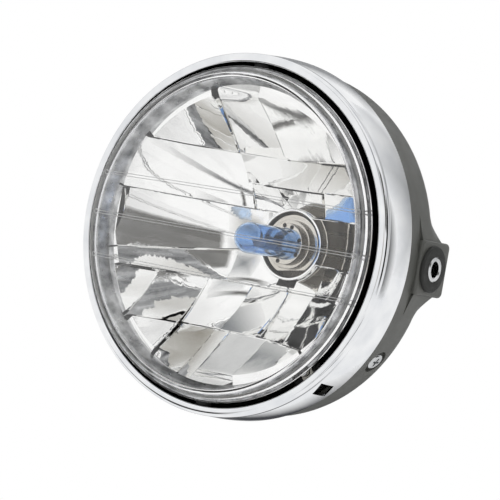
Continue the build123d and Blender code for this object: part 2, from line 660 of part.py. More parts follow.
def reflector_blank():
    """Outside of the reflector: neck, bowl, flange and the apron's wall."""
    outer_r = APRON_R + APRON_WALL + CLEAR
    flange_back = REFLECTOR_FRONT + REFLECTOR_FLANGE_THICK
    vertex = MIRROR_VERTEX + REFLECTOR_WALL
    focal = outer_r ** 2 / (4 * (vertex - flange_back))
    skin = parabola(vertex, focal, NECK_R, outer_r)
    rest = Polyline(
        skin @ 1,
        (REFLECTOR_FLANGE_R, flange_back),
        (REFLECTOR_FLANGE_R, REFLECTOR_FRONT),
        (APRON_R + APRON_WALL, REFLECTOR_FRONT),
        (APRON_R + APRON_WALL, APRON_DEPTH),
        (0, APRON_DEPTH),
        (0, NECK_BACK),
        (NECK_R, NECK_BACK),
        skin @ 0,
    )
    return turned(skin, *rest.edges())


def pivot_boss(angle):
    """Boss on the reflector for a pivot pin."""
    start = MIRROR_R - REFLECTOR_WALL
    length = RING_INNER_R - PIVOT_BOSS_GAP - start
    return rod(radial_plane(angle, PIVOT_DEPTH, start), PIVOT_BOSS_R, length)


def pivot_bore(angle):
    """Blind bore for a pivot pin."""
    start = RING_INNER_R - PIVOT_BOSS_GAP - PIVOT_HOLD - CLEAR
    return rod(radial_plane(angle, PIVOT_DEPTH, start), PIVOT_R + RUNNING, RING_R - start)


def adjuster_lug():
    """Lug on the reflector that carries the adjuster's nut."""
    inner_r = MIRROR_R - REFLECTOR_WALL
    reach = ADJUSTER_R + NUT_SIZE / 2 - inner_r
    angle = radians(WINDOW_ANGLE)
    out = Vector(-cos(angle), 0, -sin(angle))
    middle = -out * (inner_r + reach / 2)
    plane = Plane(origin=middle + Vector(0, PIVOT_DEPTH - LUG_WALL / 2, 0), x_dir=out, z_dir=(0, 1, 0))
    return extrude(plane * RectangleRounded(reach, LUG_WIDTH, LUG_WALL), LUG_WALL)


def nut_seat(size, depth, length):
    """Square prism on the adjuster's axis, turned to face out."""
    angle = radians(WINDOW_ANGLE)
    out = Vector(-cos(angle), 0, -sin(angle))
    plane = Plane(origin=-out * ADJUSTER_R + Vector(0, depth, 0), x_dir=out, z_dir=(0, 1, 0))
    return extrude(plane * Rectangle(size, size), length)


def reflector():
    """Mirror bowl: facets cut one by one, apron, bulb hole with its rim, bosses and adjuster lug."""
    body = reflector_blank()
    for angle in (90, -90):
        body += pivot_boss(angle)
    body += adjuster_lug()
    for corners, step, tilt in facets():
        body -= facet_cavity(corners, tilt, mirror_form(step))
    apron = ((0, APRON_DEPTH), (APRON_R, APRON_DEPTH), (APRON_INNER_R, MIRROR_FRONT), (0, MIRROR_FRONT))
    body -= turned(*Polyline(*apron, close=True).edges())
    body += ring(BULB_HOLE_R, HOLE_RIM_R, HOLE_RIM_FRONT, BULB_SEAT)
    body -= ring(0, BULB_HOLE_R, HOLE_RIM_FRONT, NECK_BACK)
    tab_corner = sqrt((BULB_FLANGE_R + BULB_TAB_REACH) ** 2 + (BULB_TAB_WIDTH / 2) ** 2)
    body -= ring(0, tab_corner + CLEAR, BULB_SEAT, NECK_BACK)
    slot = axial_plane(SLOT_SHIFT, MIRROR_FRONT, -(SLOT_TOP + SLOT_BOTTOM) / 2)
    body -= extrude(slot * Rectangle(SLOT_WIDTH, SLOT_BOTTOM - SLOT_TOP), BULB_SEAT - MIRROR_FRONT)
    body -= ring(SEAL_R, SEAL_R + SEAL_WIDTH, REFLECTOR_FRONT, REFLECTOR_FRONT + SEAL_GROOVE)
    screw_bore = axial_plane(0, NECK_BACK - CLIP_SCREW_LENGTH, CLIP_REACH)
    body -= rod(screw_bore, CLIP_SCREW_R + RUNNING, CLIP_SCREW_LENGTH)
    for angle in (90, -90):
        body -= pivot_bore(angle)
    body -= nut_seat(NUT_SIZE - 2 * NUT_FLANGE + 2 * SNUG, PIVOT_DEPTH - LUG_WALL, 2 * LUG_WALL)
    body -= rod(adjuster_plane(APRON_DEPTH), ADJUSTER_SCREW_R + 4 * CLEAR, PIVOT_DEPTH - APRON_DEPTH)
    return body


def adjuster_nut():
    """Nut that snaps into the lug, loose enough on the screw for the unit's swing."""
    front = PIVOT_DEPTH - NUT_LENGTH / 2
    body = nut_seat(NUT_SIZE - 2 * NUT_FLANGE, front, NUT_LENGTH)
    body += nut_seat(NUT_SIZE, PIVOT_DEPTH + LUG_WALL / 2, NUT_FLANGE_THICK)
    return body - rod(adjuster_plane(front - NUT_LENGTH), ADJUSTER_SCREW_R + NUT_PLAY, 3 * NUT_LENGTH)


def adjuster_screw():
    """Aim screw, with a groove behind the bracket for its retaining ring."""
    screw = rod(adjuster_plane(ADJUSTER_FRONT), ADJUSTER_SCREW_R, ADJUSTER_BACK - ADJUSTER_FRONT)
    groove = clip_ring_front() - SNUG
    collar_form = Circle(ADJUSTER_SCREW_R + CLEAR) - Circle(ADJUSTER_SCREW_R - CLEAR)
    return screw - extrude(adjuster_plane(groove) * collar_form, CLIP_RING_THICK + 2 * SNUG)


def clip_ring_front():
    """Depth of the retaining ring's front face, behind the bracket."""
    return BRACKET_FRONT + RING_SHEET + CLEAR


def adjuster_clip():
    """Open retaining ring in the screw's groove."""
    inner_r = ADJUSTER_SCREW_R - CLEAR + RUNNING
    plane = adjuster_plane(clip_ring_front())
    disc = Circle(inner_r + CLIP_RING_WALL) - Circle(inner_r)
    mouth = Pos(inner_r + CLIP_RING_WALL / 2, 0) * Rectangle(2 * CLIP_RING_WALL, inner_r)
    return extrude(plane * (disc - mouth), CLIP_RING_THICK)


def adjuster_wheel():
    """Toothed wheel on the screw, reached through the rim's window."""
    disc = Circle(WHEEL_R)
    disc -= PolarLocations(WHEEL_R, WHEEL_TEETH) * Circle(WHEEL_TOOTH_R)
    disc -= Circle(ADJUSTER_SCREW_R + RUNNING)
    return extrude(adjuster_plane(WHEEL_FRONT) * disc, WHEEL_THICK)


def bulb_glass():
    """Tinted envelope: a thin tube closed by a round tip."""
    base = BULB_COLLAR_FRONT + BULB_GLASS_HOLD
    outer = BULB_GLASS_R
    inner = BULB_GLASS_R - BULB_GLASS_WALL
    tip = BULB_TIP + BULB_GLASS_WALL
    outline = [
        JernArc((0, BULB_TIP), (1, 0), outer, 90),
        Line((outer, BULB_TIP + outer), (outer, base)),
        Line((outer, base), (inner, base)),
        Line((inner, base), (inner, tip + inner)),
        JernArc((0, tip), (1, 0), inner, 90),
        Line((0, tip), (0, BULB_TIP)),
    ]
    return turned(*outline)


def bulb_base():
    """Stepped collar, shoulder with a flat, three-tab flange and rear cap, as one crimped base."""
    base = BULB_COLLAR_FRONT + BULB_GLASS_HOLD
    body = ring(0, BULB_COLLAR_R, BULB_COLLAR_FRONT, BULB_SEAT)
    body += ring(0, BULB_STEP_R, BULB_STEP_FRONT, BULB_SEAT)
    shoulder = ring(0, BULB_SHOULDER_R, BULB_SHOULDER_FRONT, BULB_SEAT)
    plane = radial_plane(BULB_TURN - 90, (BULB_SHOULDER_FRONT + BULB_SEAT) / 2, BULB_FLAT)
    length = BULB_SEAT - BULB_SHOULDER_FRONT
    body += shoulder - extrude(plane * Rectangle(length, 2 * BULB_SHOULDER_R), BULB_SHOULDER_R)
    body += ring(0, BULB_FLANGE_R, BULB_SEAT, BULB_SEAT + BULB_FLANGE_THICK)
    body += ring(0, BULB_CAP_R, BULB_SEAT, BULB_CAP_BACK)
    for angle in (90, 210, 330):
        reach = BULB_FLANGE_R + BULB_TAB_REACH
        plane = radial_plane(angle, BULB_SEAT + BULB_FLANGE_THICK / 2, 0)
        body += extrude(plane * Rectangle(BULB_FLANGE_THICK, BULB_TAB_WIDTH), reach)
    return body - ring(0, BULB_GLASS_R + SNUG, BULB_COLLAR_FRONT, base + SNUG)


def bulb_filaments():
    """Two coils on their support wires, each as one plain coil form."""
    base = BULB_COLLAR_FRONT + BULB_GLASS_HOLD + SNUG
    coils = []
    for middle, raised in ((LOW_FILAMENT, LOW_FILAMENT_RAISE), (HIGH_FILAMENT, -LOW_FILAMENT_RAISE)):
        start = middle - FILAMENT_LENGTH / 2
        coil = rod(axial_plane(0, start, raised), FILAMENT_R, FILAMENT_LENGTH)
        coils.append(coil + rod(axial_plane(0, middle, raised), WIRE_R, base - middle))
    return group(coils)


def bulb_shield():
    """Metal cup under the low-beam coil, on its own support wire."""
    base = BULB_COLLAR_FRONT + BULB_GLASS_HOLD + SNUG
    section = Circle(SHIELD_R) - Circle(SHIELD_R - SHIELD_WALL)
    section &= Pos(0, -SHIELD_R) * Rectangle(4 * SHIELD_R, 2 * SHIELD_R)
    end = Circle(SHIELD_R) & Pos(0, -SHIELD_R) * Rectangle(4 * SHIELD_R, 2 * SHIELD_R)
    body = extrude(axial_plane(0, SHIELD_FRONT, 0) * section, SHIELD_LENGTH)
    body += extrude(axial_plane(0, SHIELD_FRONT, 0) * end, SHIELD_WALL)
    wire = axial_plane(0, SHIELD_FRONT + SHIELD_LENGTH / 2, SHIELD_WALL - SHIELD_R)
    return body + rod(wire, WIRE_R, base - SHIELD_FRONT - SHIELD_LENGTH / 2)


def bulb_terminals():
    """Three blades at the back of the base, two upright and one across the top."""
    flat = Rectangle(BLADE_WIDTH, BLADE_THICK)
    upright = Rectangle(BLADE_THICK, BLADE_WIDTH)
    spots = ((0, BLADE_SPREAD, flat), (-BLADE_SPREAD, 0, upright), (BLADE_SPREAD, 0, upright))
    return group([extrude(axial_plane(x, BULB_CAP_BACK, z) * form, BLADE_LENGTH) for x, z, form in spots])


def bulb_clip():
    """Spring wire bent to a hairpin: it dips onto the bulb's flange and its ends hook under the screw."""
    dip = BULB_SEAT + BULB_FLANGE_THICK + CLIP_R + RUNNING
    foot = NECK_BACK + CLIP_R + RUNNING
    side = ((foot, CLIP_RISE), (dip, CLIP_DIP), (dip, -CLIP_DIP), (foot, -CLIP_RISE), (foot, -CLIP_REACH))
    left = [(-CLIP_HALF_WIDTH, y, z) for y, z in side]
    right = [(CLIP_HALF_WIDTH, y, z) for y, z in reversed(side)]
    hook = CLIP_SCREW_R + CLIP_R + SNUG
    ends = [(x, foot, CLIP_REACH) for x in (-hook, hook)]
    path = FilletPolyline(ends[0], *left, *right, ends[1], radius=CLIP_BEND)
    return sweep(Plane(origin=path @ 0, z_dir=path % 0) * Circle(CLIP_R), path)


def clip_screw():
    """Small screw that traps the clip's ends on the reflector's neck."""
    seat = NECK_BACK + 2 * CLIP_R + 2 * RUNNING
    head = rod(axial_plane(0, seat, CLIP_REACH), CLIP_SCREW_HEAD_R, CLIP_SCREW_HEAD_R / 2)
    shank = rod(axial_plane(0, seat - CLIP_SCREW_LENGTH, CLIP_REACH), CLIP_SCREW_R, CLIP_SCREW_LENGTH)
    return head + shank


def bulb_boot():
    """Rubber boot that seals the bulb's base to the reflector's neck."""
    lap_r = NECK_R + SNUG
    front = NECK_BACK - BOOT_LAP
    shoulder = NECK_BACK + BOOT_LAP
    outline = (
        (lap_r, front), (lap_r + BOOT_WALL, front), (lap_r + BOOT_WALL, shoulder), (BOOT_TAIL_R, BOOT_BACK),
        (BOOT_MOUTH_R, BOOT_BACK), (BOOT_MOUTH_R, BOOT_BACK - BOOT_WALL), (lap_r, shoulder - BOOT_WALL),
    )
    return turned(*Polyline(*outline, close=True).edges())


GROMMETS = both_sides(grommet())
COLLARS = both_sides(collar())
PIECES = {
    "chrome_rim": chrome_rim(),
    "shell": shell(),
    "wiring_grommet": wiring_grommet(),
    "mounting_ring": mounting_ring(),
    "case_screws": group(both_sides(case_screw())),
    "case_nuts": group(both_sides(case_nut())),
    "pivot_pins": group([pivot_pin(90), pivot_pin(-90)]),
    "lens": lens(),
    "lens_seal": lens_seal(),
    "reflector": reflector(),
    "adjuster_nut": adjuster_nut(),
    "adjuster_screw": adjuster_screw(),
    "adjuster_wheel": adjuster_wheel(),
    "adjuster_clip": adjuster_clip(),
    "bulb_glass": bulb_glass(),
    "bulb_base": bulb_base(),
    "bulb_filaments": bulb_filaments(),
    "bulb_shield": bulb_shield(),
    "bulb_terminals": bulb_terminals(),
    "bulb_clip": bulb_clip(),
    "clip_screw": clip_screw(),
    "bulb_boot": bulb_boot(),
    "grommet_right": GROMMETS[0],
    "grommet_left": GROMMETS[1],
    "collar_right": COLLARS[0],
    "collar_left": COLLARS[1],
}

os.makedirs("parts", exist_ok=True)
for name, solid in PIECES.items():
    export_step(Pos(0, -EAR_DEPTH, 0) * solid, f"parts/{name}.step")
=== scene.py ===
from math import ceil, cos, pi, radians, sin, sqrt, tan

import bmesh
import bpy
from mathutils import Matrix, Vector
from mathutils.bvhtree import BVHTree


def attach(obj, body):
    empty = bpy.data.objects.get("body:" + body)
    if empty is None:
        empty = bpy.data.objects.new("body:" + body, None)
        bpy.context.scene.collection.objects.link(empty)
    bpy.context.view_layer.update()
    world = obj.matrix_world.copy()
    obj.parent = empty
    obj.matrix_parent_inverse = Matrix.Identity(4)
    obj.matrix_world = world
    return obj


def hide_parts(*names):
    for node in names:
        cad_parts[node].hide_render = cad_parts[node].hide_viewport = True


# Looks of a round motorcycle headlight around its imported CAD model. Shapes are written in
# millimetres, with Y as the depth behind the rim's lip, as in the part's source, and are placed in
# metres at the end.

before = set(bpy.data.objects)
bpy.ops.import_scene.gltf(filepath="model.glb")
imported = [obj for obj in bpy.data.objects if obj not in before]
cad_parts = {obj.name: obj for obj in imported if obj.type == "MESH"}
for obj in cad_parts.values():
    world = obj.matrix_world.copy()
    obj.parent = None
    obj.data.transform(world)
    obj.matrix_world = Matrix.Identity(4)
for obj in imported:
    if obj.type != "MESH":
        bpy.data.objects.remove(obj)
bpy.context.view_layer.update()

MM = 0.001
EAR_DEPTH = 48.3
TO_PART = Matrix.Translation((0, -EAR_DEPTH * MM, 0)) @ Matrix.Scale(MM, 4)

# Fineness of the meshes, and how near counts as touching
TURN_STEPS, BASE_STEPS, GLASS_STEPS, BOSS_STEPS, EYE_STEPS, HOLE_STEPS = 288, 192, 96, 48, 24, 20
ARC_STEPS, CORNER_STEPS, RIDGE_STEPS, CARD_STEPS = 24, 6, 80, 24
SHARP, LENS_SHARP = radians(32), radians(50)
SPECK, MERGE, CUT, ON_CUT, ON_BORDER, SLACK = 0.0005, 0.001, 0.0001, 0.001, 0.01, 0.1

# Rim
LIP_R, LIP_ROUND, LIP_HEM = 91.1, 1.4, 2.4
BEAD_R, BEAD_ROUND, BEAD_DEPTH, GROOVE = 96.4, 2.4, 4.0, 0.4
RIM_R, RIM_DEPTH, RIM_SHEET, BAND_BULGE = 98.0, 23.8, 1.0, 0.5
WINDOW_ANGLE, WINDOW_WIDTH, WINDOW_SKEW, WINDOW_MARGIN = -46.5, 9.0, 3.0, 4.0
WINDOW_FRONT, WINDOW_BACK = 6.5, 20.5
EDGE_ROUND = 0.3

# Shell's ears and the flares above and below them
EAR_FACE, EAR_HALF_HEIGHT, SKIN_PROBE = 96.5, 14.5, radians(30)
FLARE_FRONT, FLARE_BACK, FLARE_REACH, FLARE_CURVE = 36.8, 57.3, 27.0, 1.6
FLARE_ROOT, FLARE_SINK, FLARE_COVER, FLARE_CELLS = 2.0, 6.0, 0.05, (24, 20)

# Lens and its ridges
LENS_R, LENS_WALL, LENS_BACK, LENS_FLANGE = 89.0, 2.6, -0.7, 1.6
LENS_FACE_R, LENS_FACE_DEPTH, LENS_APEX, LENS_CORNER = 84.3, -7.9, -21.0, 1.6
SKIRT_STEP, SKIRT_FOOT, SKIRT_ROUND = 1.2, 2.9, 0.4
RIDGE_HEIGHTS, RIDGE_ENDS, RIDGE_PITCH = (22.0, 0.0, -23.0), (79.8, 82.3, 78.8), 1.4
RIDGE_WIDTH, RIDGE_RISE, RIDGE_EYE_R = 0.32, 0.3, 1.4

# Reflector
FILAMENT_DEPTH, FACET_STEP, MIRROR_FOCAL, MIRROR_FRONT = 48.0, 0.45, 21.602, 4.0
MIRROR_EDGE = sqrt(4 * MIRROR_FOCAL * (FILAMENT_DEPTH + MIRROR_FOCAL - MIRROR_FRONT))
APRON_R, APRON_INNER_R, APRON_DEPTH, APRON_WALL = 81.2, 79.2, -2.8, 1.0
REFLECTOR_FRONT, REFLECTOR_FLANGE_R, REFLECTOR_FLANGE, REFLECTOR_WALL = -0.4, 88.2, 2.4, 4.5
NECK_R, NECK_BACK, BULB_SEAT, RECESS_R = 31.0, 75.0, 70.5, 24.2
BULB_HOLE_R, HOLE_RIM_R, HOLE_RIM_FRONT, HOLE_RIM_ROUND, HOLE_OVERLAP = 18.4, 20.2, 64.6, 0.6, 0.2
SLOT_LEFT, SLOT_RIGHT, SLOT_TOP, SLOT_BOTTOM = -3.6, 8.4, -18.0, -23.6
PIVOT_DEPTH, PIVOT_BOSS_R, PIVOT_BOSS_TOP = 8.5, 5.5, 91.8
LUG_WIDTH, LUG_WALL, LUG_REACH, LUG_ROOT = 18.0, 4.0, 91.0, 80.0
ADJUSTER_R, NUT_SEAT, SCREW_NOTCH = 86.0, 7.2, 5.2
MIRROR_FACE, BACK_FACE, APRON_FACE = range(3)

# Bulb
BULB_R, BULB_WALL, BULB_TIP, BULB_END = 8.5, 0.9, 15.5, 63.5
COLLAR_R, COLLAR_FRONT, COLLAR_STEP_R, COLLAR_STEP_FRONT, COLLAR_ROUND = 11.7, 58.5, 13.8, 63.0, 0.5
SHOULDER_R, SHOULDER_FRONT, SHOULDER_ROUND = 17.2, 66.6, 0.6
SHOULDER_FLAT, SHOULDER_FLAT_ANGLE = 14.3, -81.0
BULB_FLANGE_R, BULB_FLANGE, BULB_TAB_REACH, BULB_TAB_WIDTH = 21.5, 1.2, 2.0, 9.0
BULB_TAB_ANGLES = (90, 210, 330)
BULB_CAP_R, BULB_CAP_BACK, BULB_CAP_ROUND = 12.0, 84.0, 0.8
COLLAR_HOLE_R, COLLAR_HOLE_DEPTH, COLLAR_HOLE_ANGLES = 1.2, 0.4, (98, 70, 18, -30, -102)
# The base's lit faces, its faces painted as shade, and its discs painted as hole shade. A lit face
# looks forward past the slope and lies in front of the depth
LIT_FACE, SHADE_FACE, HOLE_SHADE_FACE = range(3)
LIT_SLOPE, LIT_BACK = -0.5, SHOULDER_FRONT + 1

# Facets of the mirror: left, right, the lower edge's left and right ends, the upper edge's, how many
# steps it lies back, how many degrees it faces down and to the right, and how straight it runs from
# left to right, from 0 for its full curve to 1
OUTSIDE = 82.0
TOP, FOOT = OUTSIDE, -OUTSIDE
BAND_LEFT, BAND_SPLIT, BAND_TOP = -75.3, 4.5, 16.5
BAND_SLOPE, BAND_MIDDLE = 0.213, -1.3


def slanted(x):
    """Height of the left band's sloping lower edge."""
    return BAND_MIDDLE + BAND_SLOPE * x


FACETS = (
    (-OUTSIDE, -25.6, 45, 45, TOP, TOP, 0, -1.75, -0.5, 0.4),
    (-25.6, 3.0, 45, 45, TOP, TOP, 2, -4.75, 2.25, 0.4),
    (3.0, OUTSIDE, 45, 45, TOP, TOP, 0, -1.5, 6.5, 0.4),
    (-OUTSIDE, -23.2, BAND_TOP, BAND_TOP, 45, 45, 1, -5.0, -0.2, 0.0),
    (-23.2, OUTSIDE, 30, 30, 45, 45, 3, -1.0, 9.5, 0.5),
    (-23.2, 33.0, BAND_TOP, BAND_TOP, 30, 30, 0, 6.0, 0.75, 0.0),
    (33.0, OUTSIDE, BAND_TOP, BAND_TOP, 30, 30, 0, 3.0, 16.5, 0.0),
    (BAND_LEFT, BAND_SPLIT, slanted(BAND_LEFT), slanted(BAND_SPLIT), BAND_TOP, BAND_TOP,
     2, -9.0, 0.0, 0.0),
    (BAND_SPLIT, OUTSIDE, -9, -9, BAND_TOP, BAND_TOP, 1, 0.0, 2.0, 0.4),
    (-OUTSIDE, -30.1, -26, -26, slanted(-OUTSIDE), slanted(-30.1), 0, -4.25, 2.25, 0.0),
    (-30.1, BAND_SPLIT, -26, -26, slanted(-30.1), slanted(BAND_SPLIT), 1, -1.25, 0.0, 0.0),
    (BAND_SPLIT, 28.6, -26, -26, -9, -9, 2, 0.25, -0.5, 0.4),
    (28.6, OUTSIDE, -26, -26, -9, -9, 0, 0.0, 0.0, 0.4),
    (-OUTSIDE, -57.4, -52.5, -52.5, -26, -26, 1, 0.0, 3.75, 0.4),
    (-57.4, -37.8, -52.5, -52.5, -26, -26, 2, 1.75, 3.0, 0.0),
    (-37.8, -16.2, -52.5, -52.5, -26, -26, 3, 5.75, 2.5, 0.0),
    (-16.2, 6.0, -52.5, -52.5, -26, -26, 0, -2.25, 0.5, 0.4),
    (6.0, 27.1, -52.5, -52.5, -26, -26, 3, 1.5, 0.5, 0.4),
    (27.1, OUTSIDE, -52.5, -52.5, -26, -26, 1, -4.0, 4.0, 0.4),
    (-OUTSIDE, -34.5, FOOT, FOOT, -52.5, -52.5, 0, 3.75, -2.5, 0.4),
    (-34.5, -17.7, FOOT, FOOT, -52.5, -52.5, 2, 3.75, 4.75, 0.4),
    (-17.7, -9.8, FOOT, FOOT, -52.5, -52.5, 1, 6.75, 3.75, 0.0),
    (-9.8, 16.9, FOOT, FOOT, -52.5, -52.5, 2, 5.0, 6.75, 0.4),
    (16.9, OUTSIDE, FOOT, FOOT, -52.5, -52.5, 0, 1.0, 4.75, 0.4),
)
FACET_CELL, FACET_WALL, FACET_GAP = 1.1, 6.0, 0.5
FACET_EDGE, FACET_EDGE_DROP = 0.46, 0.28

# Middle values of a noise, between which colours and polish drift, and the finishes' patches and
# clouds, each a size in millimetres and a fineness
NOISE_LOW, NOISE_HIGH = 0.3, 0.7
PLATE_PATCHES, CLEAR_PATCHES = (5, 2.0), (12, 2.0)
MOULD_PATCHES, MOULD_CLOUDS = (9, 2.0), (22, 3.0)


def linear(code):
    """sRGB hex colour as linear RGBA."""
    parts = [int(code[i:i + 2], 16) / 255 for i in (1, 3, 5)]
    return (*[c / 12.92 if c <= 0.04045 else ((c + 0.055) / 1.055) ** 2.4 for c in parts], 1.0)


def add(tree, kind, inputs=None, **settings):
    """Adds a node: settings are its properties, inputs its sockets' values or what feeds them."""
    made = tree.nodes.new(kind)
    for name, value in settings.items():
        setattr(made, name, value)
    for key, value in (inputs or {}).items():
        if isinstance(value, bpy.types.NodeSocket):
            tree.links.new(value, made.inputs[key])
        else:
            made.inputs[key].default_value = value
    return made


def begin(name):
    """A new material without nodes, and its node tree."""
    made = bpy.data.materials.new(name)
    made.use_nodes = True
    made.node_tree.nodes.clear()
    return made, made.node_tree


def finish(name, colours, rough, textures, height_mm, inputs):
    """A material whose polish drifts over patches, above a low relief, and two colours over clouds.

    textures holds the patches, the relief and, where there are two colours, the clouds, each a size
    in millimetres and a fineness. height_mm is the relief's, and inputs are the other values.
    """
    made, tree = begin(name)
    place = add(tree, "ShaderNodeTexCoord").outputs["Object"]
    patch, swell, *cloud = [
        add(tree, "ShaderNodeTexNoise",
            {"Vector": place, "Scale": 1 / (size_mm * MM), "Detail": fine}).outputs[0]
        for size_mm, fine in textures
    ]
    span = {"From Min": NOISE_LOW, "From Max": NOISE_HIGH}
    base, *other = [linear(code) for code in colours]
    if other:
        drift = add(tree, "ShaderNodeMapRange", {"Value": cloud[0], **span})
        base = add(tree, "ShaderNodeMix", {0: drift.outputs[0], 6: base, 7: other[0]},
                   data_type="RGBA").outputs[2]
    polish = add(tree, "ShaderNodeMapRange",
                 {"Value": patch, **span, "To Min": rough[0], "To Max": rough[1]})
    normal = add(tree, "ShaderNodeBump", {"Height": swell, "Distance": height_mm * MM})
    shader = add(tree, "ShaderNodeBsdfPrincipled", {
        "Base Color": base, "Roughness": polish.outputs[0], "Normal": normal.outputs[0], **inputs})
    add(tree, "ShaderNodeOutputMaterial", {"Surface": shader.outputs[0]})
    return made


def plated(name, one, other, rough, waves_mm, wave_height_mm, fine=1.0, clouds_mm=14):
    """Polished plate: clouds of slightly duller polish, and long soft waves left by the polishing."""
    textures = (PLATE_PATCHES, (waves_mm, fine), (clouds_mm, fine + 1))
    return finish(name, (one, other), rough, textures, wave_height_mm, {"Metallic": 1.0})


def moulded(name, one, other, rough, grain_mm, grain_height_mm):
    """Moulded plastic, rubber or paint: faint clouding, and the even grain of the mould.

    The real grain is 0.05 to 0.1 mm, too fine to show, so it is drawn several times as coarse.
    """
    textures = (MOULD_PATCHES, (grain_mm, 2.0), MOULD_CLOUDS)
    return finish(name, (one, other), rough, textures, grain_height_mm, {})


def clear(name, code, ior, rough, waves_mm, wave_height_mm):
    """Clear moulded or blown piece: light goes through it, and its faces wave very slightly."""
    textures = (CLEAR_PATCHES, (waves_mm, 1.0))
    return finish(name, (code,), rough, textures, wave_height_mm,
                  {"Transmission Weight": 1.0, "IOR": ior})


# Chrome on polished steel: a bright, faintly cool mirror that the sheet's low waves bend a little
CHROME = plated("polished_chrome_plate", "#dfe1e4", "#eff0f1", (0.02, 0.05), 16, 0.004)
# Aluminium laid on lacquer in a vacuum: the brightest mirror here, with the lacquer's low ripples
MIRROR = plated("vacuum_metallised_mirror", "#f8f8f7", "#fcfcfb", (0.01, 0.03), 14, 0.05, 3.0)
# The same aluminium on a stippled mould: blurred, with no clear reflections; its clouds of light
# and dark are painted reflection
APRON = plated("stippled_metallised_apron", "#5b5d60", "#d9dadc", (0.25, 0.4), 6, 0.35, 3.0, 7)
# Bright zinc on turned steel: a silvery sheen with soft highlights
ZINC = plated("bright_zinc_on_steel", "#c3c5c6", "#dcddde", (0.16, 0.3), 4, 0.004)
# Polished nickel: a warm mirror, slightly yellower than chrome
NICKEL = plated("polished_nickel_on_pressed_steel", "#c9c4ba", "#dcd8d0", (0.06, 0.14), 5, 0.004)
# The same nickel painted dull and dark as shade, for the bulb base's sides and rear faces
SHADED_NICKEL = plated("nickel_painted_in_shade", "#4a463f", "#6a655c", (0.2, 0.35), 4, 0.01)
# Drawn wire and sheet: dark grey metal with a broad sheen
TUNGSTEN = plated("drawn_tungsten_and_molybdenum", "#77787c", "#97989c", (0.3, 0.45), 2, 0.004)
# Tin over brass: pale straw-coloured metal
BRASS = plated("tinned_brass", "#b9ac86", "#d2c8a8", (0.25, 0.4), 4, 0.004)
# Black ABS from a finely etched mould: a satin dark grey under a white tent
SHELL = moulded("satin_black_moulded_abs", "#4a4b47", "#52534f", (0.4, 0.5), 0.5, 0.012)
# Black rubber: matt, with hardly a highlight
RUBBER = moulded("moulded_black_rubber", "#262725", "#30312f", (0.6, 0.75), 0.6, 0.02)
# Baked black paint on steel: near black, with a soft sheen
BLACK_STEEL = moulded("black_painted_steel", "#0c0c0c", "#141414", (0.35, 0.5), 0.4, 0.006)
# Black nylon: near black, with the soft sheen of its mould
BLACK_NYLON = moulded("black_moulded_nylon", "#101010", "#181818", (0.4, 0.5), 0.4, 0.01)
# Nylon without colour: milky cream
NYLON = moulded("natural_moulded_nylon", "#d9d6cb", "#e6e3d9", (0.4, 0.5), 0.5, 0.01)
# Silicone pressed from a tube: pale grey, with the low lumps of its bead
SEALANT = moulded("pale_silicone_sealant", "#9d9d9a", "#b4b4b1", (0.45, 0.6), 1.5, 0.03)
# Ridges of the clear lens, so narrow that only their white glint is seen: they are painted
# opaque white as that glint
RIDGE_GLINT = moulded("lens_ridge_painted_glint", "#f2f2f2", "#f8f8f8", (0.3, 0.4), 2.0, 0.01)
# Glass-filled polyester: nearly black and dull; the bulb base's small discs use it as painted hole
# shade
BODY_PLASTIC = moulded("dark_moulded_polyester", "#101010", "#1a1a1a", (0.5, 0.6), 0.8, 0.02)
# Clear acrylic from a polished mould: colourless, with bright edges
LENS = clear("clear_moulded_acrylic", "#ffffff", 1.49, (0.0, 0.01), 60, 0.004)
# Blown glass with a thin blue coat: clear blue, deeper where two walls are seen together
BLUE_GLASS = clear("blue_coated_bulb_glass", "#b2d2f7", 1.5, (0.02, 0.08), 8, 0.006)


def rounded(*corners):
    """Outline through corners of radius, depth and, where a corner is round, its rounding."""
    points = []
    for i, corner in enumerate(corners):
        here = Vector(corner[:2])
        size = corner[2] if len(corner) > 2 else 0
        if not size:
            points.append(here)
            continue
        back = (Vector(corners[i - 1][:2]) - here).normalized()
        on = (Vector(corners[(i + 1) % len(corners)][:2]) - here).normalized()
        half = back.angle(on) / 2
        middle = here + (back + on).normalized() * size / sin(half)
        first, last = here + back * size / tan(half) - middle, here + on * size / tan(half) - middle
        for step in range(CORNER_STEPS + 1):
            points.append(middle + first.slerp(last, step / CORNER_STEPS).normalized() * size)
    return points


def arc(first, middle, last):
    """Points of the arc through three points."""
    (ax, ay), (bx, by), (cx, cy) = first, middle, last
    a, b, c = ax * ax + ay * ay, bx * bx + by * by, cx * cx + cy * cy
    d = 2 * (ax * (by - cy) + bx * (cy - ay) + cx * (ay - by))
    x = (a * (by - cy) + b * (cy - ay) + c * (ay - by)) / d
    y = (a * (cx - bx) + b * (ax - cx) + c * (bx - ax)) / d
    centre = Vector((x, y))
    start, end = Vector(first) - centre, Vector(last) - centre
    return [centre + start.slerp(end, step / ARC_STEPS).normalized() * start.length
            for step in range(ARC_STEPS + 1)]


def dome(face_r, face_depth, apex):
    """Points of a spherical cap from its apex on the axis out to its edge."""
    return arc((-face_r, face_depth), (0, apex), (face_r, face_depth))[ARC_STEPS // 2:]


def turn(bm, outline, closed=True, material=0, steps=TURN_STEPS):
    """Turns an outline of radius and depth about the lamp's axis."""
    before = set(bm.faces)
    verts = [bm.verts.new((r, y, 0)) for r, y in outline]
    following = verts[1:] + verts[:1] if closed else verts[1:]
    edges = [bm.edges.new(pair) for pair in zip(verts, following)]
    bmesh.ops.spin(bm, geom=verts + edges, cent=(0, 0, 0), axis=(0, 1, 0), angle=2 * pi,
                   steps=steps, use_merge=True)
    for face in set(bm.faces) - before:
        face.material_index = material


def faces_of(verts):
    """The faces at some vertices, each once."""
    return list(dict.fromkeys(face for vert in verts for face in vert.link_faces))


def pulled(bm, edges):
    """Extrudes edges and gives the new vertices, to be moved."""
    made = bmesh.ops.extrude_edge_only(bm, edges=edges)["geom"]
    return [item for item in made if isinstance(item, bmesh.types.BMVert)]


